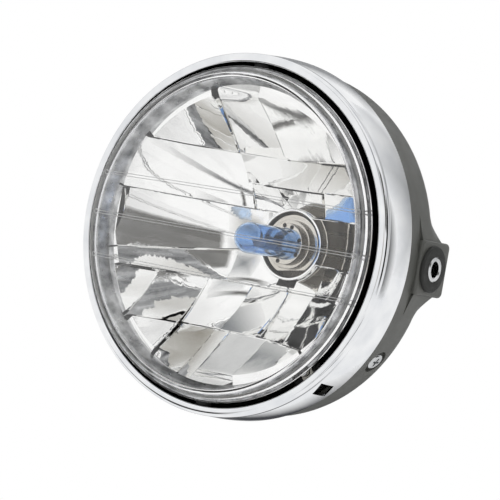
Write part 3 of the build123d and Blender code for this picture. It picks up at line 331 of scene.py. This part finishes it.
def raised(bm, faces, shift):
    """Extrudes faces by a shift and gives the new vertices."""
    made = bmesh.ops.extrude_face_region(bm, geom=faces)["geom"]
    verts = [item for item in made if isinstance(item, bmesh.types.BMVert)]
    for vert in verts:
        vert.co += Vector(shift)
    return verts


def shade(bm, crease):
    """Shades a piece smooth, apart from its sharp edges."""
    for face in bm.faces:
        face.smooth = True
    for edge in bm.edges:
        if len(edge.link_faces) == 2 and edge.calc_face_angle(0) > crease:
            edge.smooth = False


def close_up(bm, crease=SHARP):
    """Merges doubles, turns the faces outwards and marks the sharp edges."""
    bmesh.ops.remove_doubles(bm, verts=bm.verts, dist=MERGE)
    bmesh.ops.dissolve_degenerate(bm, edges=bm.edges, dist=SPECK)
    bmesh.ops.recalc_face_normals(bm, faces=bm.faces)
    shade(bm, crease)


def join(bm, part):
    """Adds a finished part to a piece."""
    mesh = bpy.data.meshes.new("part")
    part.to_mesh(mesh)
    part.free()
    bm.from_mesh(mesh)
    bpy.data.meshes.remove(mesh)


def make(bm, name, body, slot, materials, *nodes):
    """Puts a piece made in millimetres in its place, on its body, in the nodes' stead."""
    mesh = bpy.data.meshes.new(name)
    bm.transform(TO_PART)
    bm.to_mesh(mesh)
    bm.free()
    for material in materials:
        mesh.materials.append(material)
    made = bpy.data.objects.new(name, mesh)
    bpy.context.scene.collection.objects.link(made)
    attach(made, body)
    if nodes:
        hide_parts(*nodes)


def merged(node):
    """A merged copy of a CAD node's mesh, in millimetres."""
    bm = bmesh.new()
    bm.from_mesh(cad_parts[node].data)
    bm.transform(TO_PART.inverted())
    bmesh.ops.remove_doubles(bm, verts=bm.verts, dist=SPECK)
    for face in bm.faces:
        face.material_index = 0
    return bm


def smooth_copy(node, body, slot, material):
    """A merged, smoothly shaded copy of a CAD node."""
    bm = merged(node)
    shade(bm, SHARP)
    make(bm, node + "_finished", body, slot, [material], node)


def shell():
    """Moulded shell: a smooth copy of its node, with hollow flares from each ear into its skin."""
    bm = merged("shell")
    felt = BVHTree.FromBMesh(bm)
    out = Vector((cos(SKIN_PROBE), 0, sin(SKIN_PROBE)))

    def flare(depth, height):
        """How far out a flare stands, above the skin that is felt at an angle clear of the ears."""
        skin = felt.ray_cast(out * 2 * RIM_R + Vector((0, depth, 0)), -out)[0].xz.length
        share = 1 - (abs(height) - EAR_HALF_HEIGHT) / (FLARE_REACH - EAR_HALF_HEIGHT)
        root = sqrt(skin ** 2 - EAR_HALF_HEIGHT ** 2)
        return sqrt(skin ** 2 - height ** 2) + (EAR_FACE - root) * max(share, 0) ** FLARE_CURVE

    for vert in bm.verts:
        x, depth, height = vert.co
        beside_ear = EAR_HALF_HEIGHT + SLACK < abs(height) < FLARE_REACH + 2 * SLACK
        in_flare = FLARE_FRONT < depth < FLARE_BACK + SLACK and abs(x) > EAR_FACE - 2 * FLARE_SINK
        if beside_ear and in_flare:
            vert.co.x = (1 if x > 0 else -1) * min(abs(x), flare(depth, height) - FLARE_COVER)
    columns, rows = FLARE_CELLS
    for side, way in ((1, 1), (1, -1), (-1, 1), (-1, -1)):
        web = bmesh.new()
        bmesh.ops.create_grid(web, x_segments=columns, y_segments=rows, size=0.5)
        for vert in web.verts:
            depth = FLARE_FRONT + (vert.co.x + 0.5) * (FLARE_BACK - FLARE_FRONT)
            start = EAR_HALF_HEIGHT - FLARE_ROOT
            height = way * (start + (vert.co.y + 0.5) * (FLARE_REACH - start))
            vert.co = (side * min(flare(depth, height), EAR_FACE), depth, height)
        raised(web, web.faces[:], (-side * FLARE_SINK, 0, 0))
        close_up(web)
        join(bm, web)
    shade(bm, SHARP)
    make(bm, "shell_finished", "housing", "shell_plastic", [SHELL], "shell")


def chrome_rim():
    """Pressed and plated rim, with its window."""
    band_r, band_front = BEAD_R - GROOVE, BEAD_DEPTH + GROOVE
    middle = Vector(((band_r + RIM_R) / 2 + BAND_BULGE, (band_front + RIM_DEPTH) / 2))
    inner = Vector((RIM_SHEET, 0))
    outline = rounded(
        (LIP_R, LIP_HEM), (LIP_R, 0, LIP_ROUND), (BEAD_R, 0, BEAD_ROUND),
        (BEAD_R, BEAD_DEPTH, EDGE_ROUND), (band_r, band_front, EDGE_ROUND), middle,
    )[:-1]
    outline += arc((band_r, band_front), middle, (RIM_R, RIM_DEPTH))[1:]
    outline += arc((RIM_R - RIM_SHEET, RIM_DEPTH), middle - inner, (band_r - RIM_SHEET, band_front))
    outline += rounded(
        (band_r - RIM_SHEET, BEAD_ROUND), (BEAD_R - BEAD_ROUND, RIM_SHEET),
        (LIP_R + LIP_ROUND, RIM_SHEET), (LIP_R + RIM_SHEET, LIP_ROUND), (LIP_R + RIM_SHEET, LIP_HEM),
    )
    bm = bmesh.new()
    turn(bm, outline)
    close_up(bm)
    cut_window(bm)
    make(bm, "chrome_rim_finished", "housing", "chrome", [CHROME], "chrome_rim")


def cut_window(bm):
    """Cuts the slanted window through both skins of the rim's band and closes its edge."""
    angle = radians(WINDOW_ANGLE)
    out, along = Vector((cos(angle), 0, sin(angle))), Vector((-sin(angle), 0, cos(angle)))
    half = WINDOW_WIDTH / 2
    corners = ((WINDOW_FRONT + WINDOW_SKEW, -half), (WINDOW_BACK, -half),
               (WINDOW_BACK - WINDOW_SKEW, half), (WINDOW_FRONT, half))
    sides = []
    for (y0, t0), (y1, t1) in zip(corners, corners[1:] + corners[:1]):
        normal = (Vector((0, t1 - t0, 0)) - along * (y1 - y0)).normalized()
        sides.append((Vector((0, y0, 0)) + along * t0, normal))

    def near(face, margin):
        middle = face.calc_center_median()
        beyond = max((middle - spot).dot(normal) for spot, normal in sides)
        return middle.dot(out) > 0 and beyond < margin

    for spot, normal in sides:
        faces = [face for face in bm.faces if near(face, WINDOW_MARGIN)]
        edges = dict.fromkeys(edge for face in faces for edge in face.edges)
        verts = dict.fromkeys(vert for face in faces for vert in face.verts)
        bmesh.ops.bisect_plane(bm, geom=[*faces, *edges, *verts], dist=CUT, plane_co=spot,
                               plane_no=normal)
    bmesh.ops.delete(bm, geom=[face for face in bm.faces if near(face, 0.0)], context="FACES")
    rim = [edge for edge in bm.edges if edge.is_boundary]
    bmesh.ops.bridge_loops(bm, edges=rim)
    for edge in rim:
        edge.smooth = False


def lens():
    """Clear dome with a round corner, a stepped skirt and a flange."""
    flange_front = LENS_BACK - LENS_FLANGE
    step = (LENS_FACE_DEPTH + flange_front) / 2
    inner_r = LENS_FACE_R - LENS_WALL
    outside = dome(LENS_FACE_R, LENS_FACE_DEPTH, LENS_APEX)
    inside = dome(inner_r, LENS_FACE_DEPTH + LENS_WALL, LENS_APEX + LENS_WALL)
    # The corner's rounding takes the place of the dome's last two points
    outline = outside[:-2] + rounded(
        outside[-3], (LENS_FACE_R, LENS_FACE_DEPTH, LENS_CORNER),
        (LENS_FACE_R + SKIRT_STEP, step, SKIRT_ROUND),
        (LENS_FACE_R + 2 * SKIRT_STEP, step, SKIRT_ROUND),
        (LENS_FACE_R + SKIRT_FOOT, flange_front, EDGE_ROUND),
        (LENS_R, flange_front, SKIRT_ROUND), (LENS_R, LENS_BACK, EDGE_ROUND),
        (inner_r + SKIRT_STEP, LENS_BACK, EDGE_ROUND),
    )[1:] + inside[::-1]
    bm = bmesh.new()
    turn(bm, outline, closed=False)
    close_up(bm, LENS_SHARP)
    make(bm, "lens_finished", "light_unit", "clear_lens", [LENS], "lens")


def lens_ridges():
    """Three pairs of fine moulded ridges across the lens's inside, each ending in a small eye."""
    inner_r, apex = LENS_FACE_R - LENS_WALL, LENS_APEX + LENS_WALL
    rise = LENS_FACE_DEPTH + LENS_WALL - apex
    ball = (inner_r ** 2 + rise ** 2) / (2 * rise)
    bm = bmesh.new()

    def on_lens(x, z):
        return apex + ball - sqrt(ball ** 2 - x * x - z * z)

    for height, end in zip(RIDGE_HEIGHTS, RIDGE_ENDS):
        for z in (height - RIDGE_PITCH / 2, height + RIDGE_PITCH / 2):
            places = [end * (2 * i / RIDGE_STEPS - 1) for i in range(RIDGE_STEPS + 1)]
            verts = [bm.verts.new((x, on_lens(x, z), z - RIDGE_WIDTH / 2)) for x in places]
            upper = pulled(bm, [bm.edges.new(pair) for pair in zip(verts, verts[1:])])
            for vert in upper:
                vert.co.z += RIDGE_WIDTH
            raised(bm, faces_of(upper), (0, RIDGE_RISE, 0))
        for side in (1, -1):
            middle = Vector((side * end, on_lens(end, height), height))
            place = Matrix.Translation(middle) @ Matrix.Rotation(radians(90), 4, "X")
            ring = bmesh.ops.create_circle(bm, segments=EYE_STEPS, radius=RIDGE_EYE_R,
                                           matrix=place)["verts"]
            circle = dict.fromkeys(edge for vert in ring for edge in vert.link_edges)
            inner = pulled(bm, list(circle))
            for vert in inner:
                vert.co = middle + (vert.co - middle) * (1 - RIDGE_WIDTH / RIDGE_EYE_R)
            raised(bm, faces_of(inner), (0, RIDGE_RISE, 0))
    close_up(bm)
    # The ridges take the white of a painted glint, not the lens's clear acrylic
    make(bm, "lens_ridges", "light_unit", "clear_lens", [RIDGE_GLINT])


def mirror_depth(x, z, step, down, across, spot):
    """Depth of a facet: a paraboloid about the filament, tilted a little about its middle."""
    focal = MIRROR_FOCAL + step * FACET_STEP
    depth = FILAMENT_DEPTH + focal - (x * x + z * z) / (4 * focal)
    rx, rz = x - spot.x, z - spot.y
    ry = depth - (FILAMENT_DEPTH + focal - spot.length_squared / (4 * focal))
    turned = across * rx - down * rz
    return depth + turned + (z * down - x * across) * ry / (2 * focal)


def chord(left, right, z):
    """Ends of a facet's row at a height, between the bulb's hole and the mirror's edge."""
    edge = sqrt(max(MIRROR_EDGE ** 2 - z * z, 1.0))
    hole = sqrt(max(HOLE_RIM_R ** 2 - z * z, 0.0))
    if left < hole < right and left > -hole:
        left = hole
    return max(left, -edge), min(right, edge)


def facet_face(left, right, low_left, low_right, high_left, high_right,
               step, down, across, flat, spot):
    """A facet's grid on its paraboloid, cut at the mirror's front, the bulb's hole and the slot."""
    bm = bmesh.new()
    tall = max(high_left - low_left, high_right - low_right)
    bmesh.ops.create_grid(bm, x_segments=ceil((right - left) / FACET_CELL),
                          y_segments=ceil(tall / FACET_CELL), size=1)
    for vert in bm.verts:
        share, rise = (vert.co.x + 1) / 2, (vert.co.y + 1) / 2
        x = left + share * (right - left)
        low = low_left + share * (low_right - low_left)
        z = low + rise * (high_left + share * (high_right - high_left) - low)
        depth = mirror_depth(x, z, step, down, across, spot)
        first, last = chord(left, right, z)
        near, far = [mirror_depth(end, z, step, down, across, spot) for end in (first, last)]
        straight = near + (far - near) * (x - first) / (last - first)
        vert.co = (x, depth + flat * (straight - depth), z)
    cuts = [((0, MIRROR_FRONT, 0), (0, -1, 0), True)]
    if left < SLOT_RIGHT and right > SLOT_LEFT and low_left < SLOT_TOP and high_right > SLOT_BOTTOM:
        cuts += [((x, 0, 0), (1, 0, 0), False) for x in (SLOT_LEFT, SLOT_RIGHT)]
        cuts += [((0, 0, z), (0, 0, 1), False) for z in (SLOT_TOP, SLOT_BOTTOM)]
    for place, normal, off in cuts:
        bmesh.ops.bisect_plane(bm, geom=bm.verts[:] + bm.edges[:] + bm.faces[:], dist=CUT,
                               plane_co=place, plane_no=normal, clear_outer=off)
    gone = []
    for face in bm.faces:
        middle = face.calc_center_median()
        in_slot = SLOT_LEFT < middle.x < SLOT_RIGHT and SLOT_BOTTOM < middle.z < SLOT_TOP
        if in_slot or max(vert.co.xz.length for vert in face.verts) < HOLE_RIM_R - HOLE_OVERLAP:
            gone.append(face)
    bmesh.ops.delete(bm, geom=gone, context="FACES")
    return bm


def facet(left, right, low_left, low_right, high_left, high_right, step, down, across, flat):
    """One facet with its narrow chamfer, its walls, and its ledge where it meets the apron."""
    def inside(value):
        return max(-MIRROR_EDGE, min(MIRROR_EDGE, value))

    heights = [inside(height) for height in (low_left, low_right, high_left, high_right)]
    spot = Vector((inside(left) + inside(right), sum(heights) / 2)) / 2
    spot *= min(1.0, MIRROR_EDGE / max(spot.length, 1.0))
    left, right = left + FACET_GAP, right - FACET_GAP
    low_left, low_right = low_left + FACET_GAP, low_right + FACET_GAP
    high_left, high_right = high_left - FACET_GAP, high_right - FACET_GAP
    bm = facet_face(left, right, low_left, low_right, high_left, high_right,
                    step, radians(down), radians(across), flat, spot)
    rim = [edge for edge in bm.edges if edge.is_boundary]
    for edge in rim:
        edge.smooth = False
    front = [edge for edge in rim if all(vert.co.y < MIRROR_FRONT + ON_CUT for vert in edge.verts)]
    end = [edge for edge in rim
           if all(abs(vert.co.x - BAND_LEFT) < FACET_GAP + SLACK for vert in edge.verts)]
    dropped = pulled(bm, [edge for edge in rim if edge not in front and edge not in end])
    for vert in dropped:
        share = (vert.co.x - left) / (right - left)
        low = low_left + share * (low_right - low_left)
        high = high_left + share * (high_right - high_left)
        aside = (vert.co.x > right - ON_BORDER) - (vert.co.x < left + ON_BORDER)
        above = (vert.co.z > high - ON_BORDER) - (vert.co.z < low + ON_BORDER)
        vert.co += Vector((aside * FACET_EDGE, FACET_EDGE_DROP, above * FACET_EDGE))

    def open_edges(verts):
        return [edge for edge in bm.edges
                if edge.is_boundary and all(vert in verts for vert in edge.verts)]

    chamfer = open_edges(dropped)
    for edge in chamfer:
        edge.smooth = False
    for vert in pulled(bm, chamfer):
        vert.co.y += FACET_WALL
    stood = pulled(bm, end)
    for vert in stood:
        vert.co.y = MIRROR_FRONT
    for vert in pulled(bm, front + open_edges(stood)):
        vert.co *= APRON_INNER_R / vert.co.xz.length
        vert.co.y = MIRROR_FRONT
    for face in bm.faces:
        face.smooth = True
    return bm


def reflector():
    """Mirror bowl: facets, apron and hole rim in bright metal, and a dark back with its bosses."""
    bm = bmesh.new()
    apron = APRON_R + APRON_WALL
    flange_back = REFLECTOR_FRONT + REFLECTOR_FLANGE
    vertex = FILAMENT_DEPTH + MIRROR_FOCAL + REFLECTOR_WALL
    skin_r = apron + EDGE_ROUND
    focal = skin_r ** 2 / (4 * (vertex - flange_back))
    turn(bm, rounded(
        (APRON_INNER_R, MIRROR_FRONT), (APRON_R, APRON_DEPTH, EDGE_ROUND),
        (apron, APRON_DEPTH, EDGE_ROUND), (apron, REFLECTOR_FRONT),
        (REFLECTOR_FLANGE_R, REFLECTOR_FRONT),
    ), closed=False, material=APRON_FACE)
    hole_rim = rounded((BULB_HOLE_R, BULB_SEAT), (BULB_HOLE_R, HOLE_RIM_FRONT, HOLE_RIM_ROUND),
                       (HOLE_RIM_R, HOLE_RIM_FRONT, HOLE_RIM_ROUND), (HOLE_RIM_R, BULB_SEAT))
    turn(bm, hole_rim[:2], closed=False, material=BACK_FACE)
    turn(bm, hole_rim[1:], closed=False, material=MIRROR_FACE)
    radii = [skin_r + (NECK_R - skin_r) * i / ARC_STEPS for i in range(ARC_STEPS + 1)]
    turn(bm, [
        (REFLECTOR_FLANGE_R, REFLECTOR_FRONT), (REFLECTOR_FLANGE_R, flange_back),
        *[(r, vertex - r * r / (4 * focal)) for r in radii],
        (NECK_R, NECK_BACK), (RECESS_R, NECK_BACK), (RECESS_R, BULB_SEAT), (BULB_HOLE_R, BULB_SEAT),
    ], closed=False, material=BACK_FACE)
    notch_flange(bm, skin_r + SLACK)
    close_up(bm)
    before = set(bm.faces)
    length = PIVOT_BOSS_TOP - LUG_ROOT
    for side in (1, -1):
        place = Matrix.Translation((0, PIVOT_DEPTH, side * (LUG_ROOT + length / 2)))
        bmesh.ops.create_cone(bm, cap_ends=True, segments=BOSS_STEPS, radius1=PIVOT_BOSS_R,
                              radius2=PIVOT_BOSS_R, depth=length, matrix=place)
    adjuster_lug(bm)
    for face in set(bm.faces) - before:
        face.material_index = BACK_FACE
    for row in FACETS:
        join(bm, facet(*row))
    make(bm, "reflector_finished", "light_unit", "mirror_plastic", [MIRROR, BODY_PLASTIC, APRON],
         "reflector")


def notch_flange(bm, radius):
    """Draws the flange's edge in to a radius where the aim screw passes it."""
    angle = radians(WINDOW_ANGLE)
    along = Vector((-sin(angle), 0, cos(angle)))
    for vert in bm.verts:
        here = vert.co.xz.length
        by_screw = vert.co.x > 0 and abs(vert.co.dot(along)) < SCREW_NOTCH
        if by_screw and here > REFLECTOR_FLANGE_R - SLACK:
            vert.co.xz *= radius / here


def adjuster_lug(bm):
    """Adds the lug with the square seat that the adjuster's nut snaps into."""
    half = NUT_SEAT / 2
    swing = Matrix.Rotation(-radians(WINDOW_ANGLE), 4, "Y")
    outs = (LUG_ROOT, ADJUSTER_R - half, ADJUSTER_R + half, LUG_REACH)
    asides = (-LUG_WIDTH / 2, -half, half, LUG_WIDTH / 2)
    cells = len(outs) - 1
    verts = bmesh.ops.create_grid(bm, x_segments=cells, y_segments=cells, size=cells / 2)["verts"]
    plate = faces_of(verts)
    seat = min(plate, key=lambda face: face.calc_center_median().length)
    plate.remove(seat)
    for vert in verts:
        column, row = round(vert.co.x + cells / 2), round(vert.co.y + cells / 2)
        vert.co = swing @ Vector((outs[column], PIVOT_DEPTH - LUG_WALL / 2, asides[row]))
    bmesh.ops.delete(bm, geom=[seat], context="FACES_ONLY")
    verts += raised(bm, plate, (0, LUG_WALL, 0))
    bmesh.ops.recalc_face_normals(bm, faces=faces_of(verts))


def bulb_glass():
    """Thin tinted tube closed by a round tip."""
    def tube(radius, tip):
        angles = [pi / 2 * i / ARC_STEPS for i in range(ARC_STEPS + 1)]
        return [(radius * sin(angle), tip + radius * (1 - cos(angle))) for angle in angles]

    outside, inside = tube(BULB_R, BULB_TIP), tube(BULB_R - BULB_WALL, BULB_TIP + BULB_WALL)
    bm = bmesh.new()
    turn(bm, [*outside, (BULB_R, BULB_END), (BULB_R - BULB_WALL, BULB_END), *inside[::-1]],
         closed=False, steps=GLASS_STEPS)
    close_up(bm)
    make(bm, "bulb_glass_finished", "light_unit", "blue_glass", [BLUE_GLASS], "bulb_glass")


def bulb_base():
    """Stepped, flanged base: lit faces, sides in painted shade, and dark discs as painted hole shade
    around the glass.
    """
    bore, bore_end = BULB_R + SLACK, BULB_END + SLACK
    flange_back = BULB_SEAT + BULB_FLANGE
    bm = bmesh.new()
    turn(bm, rounded(
        (0, bore_end), (bore, bore_end), (bore, COLLAR_FRONT, EDGE_ROUND),
        (COLLAR_R, COLLAR_FRONT, COLLAR_ROUND), (COLLAR_R, COLLAR_STEP_FRONT),
        (COLLAR_STEP_R, COLLAR_STEP_FRONT, COLLAR_ROUND), (COLLAR_STEP_R, SHOULDER_FRONT),
        (SHOULDER_R, SHOULDER_FRONT, SHOULDER_ROUND), (SHOULDER_R, BULB_SEAT),
        (BULB_FLANGE_R, BULB_SEAT, EDGE_ROUND), (BULB_FLANGE_R, flange_back, EDGE_ROUND),
        (BULB_CAP_R, flange_back), (BULB_CAP_R, BULB_CAP_BACK, BULB_CAP_ROUND), (0, BULB_CAP_BACK),
    ), closed=False, steps=BASE_STEPS)
    flat = radians(SHOULDER_FLAT_ANGLE)
    out = Vector((cos(flat), 0, sin(flat)))
    for vert in bm.verts:
        beyond = vert.co.dot(out) - SHOULDER_FLAT
        if beyond > 0 and vert.co.xz.length < SHOULDER_R + SLACK:
            vert.co -= out * beyond
    close_up(bm)
    # Forward faces in front of the shoulder are lit nickel; the sides and the faces behind it get
    # nickel painted as shade
    for face in bm.faces:
        lit = face.normal.y < LIT_SLOPE and face.calc_center_median().y < LIT_BACK
        face.material_index = LIT_FACE if lit else SHADE_FACE
    for angle in BULB_TAB_ANGLES:
        swing = Matrix.Rotation(-radians(angle), 4, "Y")
        place = Matrix.Translation((BULB_FLANGE_R, BULB_SEAT + BULB_FLANGE / 2, 0))
        shape = Matrix.Diagonal((2 * BULB_TAB_REACH, BULB_FLANGE, BULB_TAB_WIDTH, 1))
        bmesh.ops.create_cube(bm, size=1, matrix=swing @ place @ shape)
    # Small dark discs on the collar's front are painted shade where the collar has holes
    before = set(bm.faces)
    for angle in COLLAR_HOLE_ANGLES:
        swing = Matrix.Rotation(-radians(angle), 4, "Y")
        place = Matrix.Translation(((bore + COLLAR_R) / 2, COLLAR_FRONT, 0))
        facing = swing @ place @ Matrix.Rotation(radians(90), 4, "X")
        bmesh.ops.create_cone(bm, cap_ends=True, segments=HOLE_STEPS, radius1=COLLAR_HOLE_R,
                              radius2=COLLAR_HOLE_R, depth=COLLAR_HOLE_DEPTH, matrix=facing)
    for face in set(bm.faces) - before:
        face.material_index = HOLE_SHADE_FACE
    make(bm, "bulb_base_finished", "light_unit", "bulb_metal", [NICKEL, SHADED_NICKEL, BODY_PLASTIC],
         "bulb_base")


shell()
chrome_rim()
lens()
lens_ridges()
bulb_base()
reflector()
bulb_glass()
for node, body, slot, material in (
    ("grommet_left", "housing", "rubber", RUBBER),
    ("grommet_right", "housing", "rubber", RUBBER),
    ("collar_left", "housing", "zinc_steel", ZINC),
    ("collar_right", "housing", "zinc_steel", ZINC),
    ("case_screws", "housing", "zinc_steel", ZINC),
    ("wiring_grommet", "housing", "rubber", RUBBER),
    ("mounting_ring", "housing", "black_steel", BLACK_STEEL),
    ("bulb_shield", "light_unit", "tungsten", TUNGSTEN),
    ("bulb_filaments", "light_unit", "tungsten", TUNGSTEN),
    ("bulb_boot", "light_unit", "rubber", RUBBER),
):
    smooth_copy(node, body, slot, material)
for node, material in (
    ("case_nuts", ZINC), ("pivot_pins", ZINC), ("lens_seal", SEALANT), ("adjuster_nut", NYLON),
    ("adjuster_screw", ZINC), ("adjuster_wheel", BLACK_NYLON), ("adjuster_clip", ZINC),
    ("bulb_terminals", BRASS), ("bulb_clip", ZINC), ("clip_screw", ZINC),
):
    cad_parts[node].data.materials.clear()
    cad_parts[node].data.materials.append(material)

# Camera, at the photograph's own place and roll
CAMERA_PLACE = Vector((0.56927, -0.87714, 0.00143))
CAMERA_BACK = Vector((0.55462, -0.83207, 0.00774))
CAMERA_ROLL = radians(9.87)
CAMERA_LENS, CAMERA_SENSOR = 137.61, 36.0
camera_data = bpy.data.cameras.new("camera")
camera_data.sensor_width = CAMERA_SENSOR
camera_data.lens = CAMERA_LENS
camera = bpy.data.objects.new("camera", camera_data)
aimed = (-CAMERA_BACK).to_track_quat("-Z", "Y").to_matrix().to_4x4()
rolled = aimed @ Matrix.Rotation(CAMERA_ROLL, 4, "Z")
camera.matrix_world = Matrix.Translation(CAMERA_PLACE) @ rolled
bpy.context.scene.collection.objects.link(camera)
bpy.context.scene.camera = camera

# World, floor and cards, in metres: a white tent with plain cards that only metal and glass show
FLOOR_DROP, FLOOR_REACH, CARD_DISTANCE = 1.2, 30.0, 1.6
WHITE = "#ffffff"


def plain_sheet(name, bm, material):
    """Puts a sheet of the studio in its place."""
    mesh = bpy.data.meshes.new(name)
    bm.to_mesh(mesh)
    bm.free()
    mesh.materials.append(material)
    made = bpy.data.objects.new(name, mesh)
    bpy.context.scene.collection.objects.link(made)
    return made


def paper(name, code, shows_white=False):
    """Matt paper that fades to white at a soft card's border.

    The floor's shows white to the camera, to metal and to glass.
    """
    made, tree = begin(name)
    faded = add(tree, "ShaderNodeAttribute", attribute_name="fade")
    toned = add(tree, "ShaderNodeMix", {0: faded.outputs["Fac"], 6: linear(code), 7: linear(WHITE)},
                data_type="RGBA")
    surface = add(tree, "ShaderNodeBsdfDiffuse", {"Color": toned.outputs[2]}).outputs[0]
    if shows_white:
        path = add(tree, "ShaderNodeLightPath")
        seen = path.outputs["Is Camera Ray"]
        for ray in ("Is Glossy Ray", "Is Transmission Ray"):
            seen = add(tree, "ShaderNodeMath", {0: seen, 1: path.outputs[ray]},
                       operation="MAXIMUM").outputs[0]
        white = add(tree, "ShaderNodeEmission", {"Color": linear(WHITE), "Strength": 1.0}).outputs[0]
        surface = add(tree, "ShaderNodeMixShader", {0: seen, 1: surface, 2: white}).outputs[0]
    add(tree, "ShaderNodeOutputMaterial", {"Surface": surface})
    return made


def card(name, azimuths, elevations, code, soft=0.0):
    """Curved card around the lamp, between two azimuths and two elevations in degrees.

    Azimuths run from the front towards +X. soft is the share of the card's half width over which it
    fades to white at its border.
    """
    bm = bmesh.new()
    bmesh.ops.create_grid(bm, x_segments=CARD_STEPS, y_segments=CARD_STEPS, size=0.5)
    fade = bm.verts.layers.float.new("fade")
    for vert in bm.verts:
        inward = 1 - 2 * max(abs(vert.co.x), abs(vert.co.y))
        vert[fade] = 1 - min(inward / soft, 1) if soft else 0
        azimuth = radians(azimuths[0] + (vert.co.x + 0.5) * (azimuths[1] - azimuths[0]))
        elevation = radians(elevations[0] + (vert.co.y + 0.5) * (elevations[1] - elevations[0]))
        out = cos(elevation)
        vert.co = Vector((sin(azimuth) * out, -cos(azimuth) * out, sin(elevation))) * CARD_DISTANCE
    made = plain_sheet(name, bm, paper(name + "_paper", code))
    made.visible_camera = made.visible_diffuse = False


floor = bmesh.new()
bmesh.ops.create_grid(floor, x_segments=1, y_segments=1, size=FLOOR_REACH,
                      matrix=Matrix.Translation((0, 0, -FLOOR_DROP)))
plain_sheet("floor", floor, paper("pale_floor", "#f2f2f2", True))
card("band_card", (44, 88), (12, 42), "#6a6966", 0.15)
card("beige_front_card", (12, 42), (-14, 14), "#a8a49b", 1.0)
card("upper_front_card", (8, 42), (17, 50), "#6c7176", 1.0)
card("front_left_card", (-52, -28), (-38, -12), "#2b2a28", 0.4)
card("low_strip", (-14, 58), (-29, -23), "#2f2f2e", 0.8)
card("lower_strip", (-8, 70), (-48, -43), "#3a3c40", 0.8)
card("upright_strip", (1, 7), (-58, -10), "#2c2c2b", 0.8)
card("second_upright_strip", (25, 30), (-60, -12), "#3c3a36", 0.8)
card("high_strip", (-30, 40), (49, 54), "#3e3d39", 0.8)
card("side_card", (81, 131.5), (-16, 32), "#101010", 0.35)
card("back_card", (132, 182), (-5, 48), "#a0a1a2", 1.0)
card("upper_back_card", (96, 172), (48, 76), "#d6d7da", 0.6)
card("left_back_card", (-178, -112), (-5, 40), "#a2a3a5", 0.5)
card("low_back_card", (162, 245), (-46, -6), "#4c4d50", 0.8)

world = bpy.data.worlds.new("white_tent")
bpy.context.scene.world = world
world.use_nodes = True
sky = world.node_tree
sky.nodes.clear()
light = add(sky, "ShaderNodeBackground", {"Color": linear(WHITE), "Strength": 1.0})
add(sky, "ShaderNodeOutputWorld", {"Surface": light.outputs[0]})

bpy.context.scene.view_settings.view_transform = "Standard"
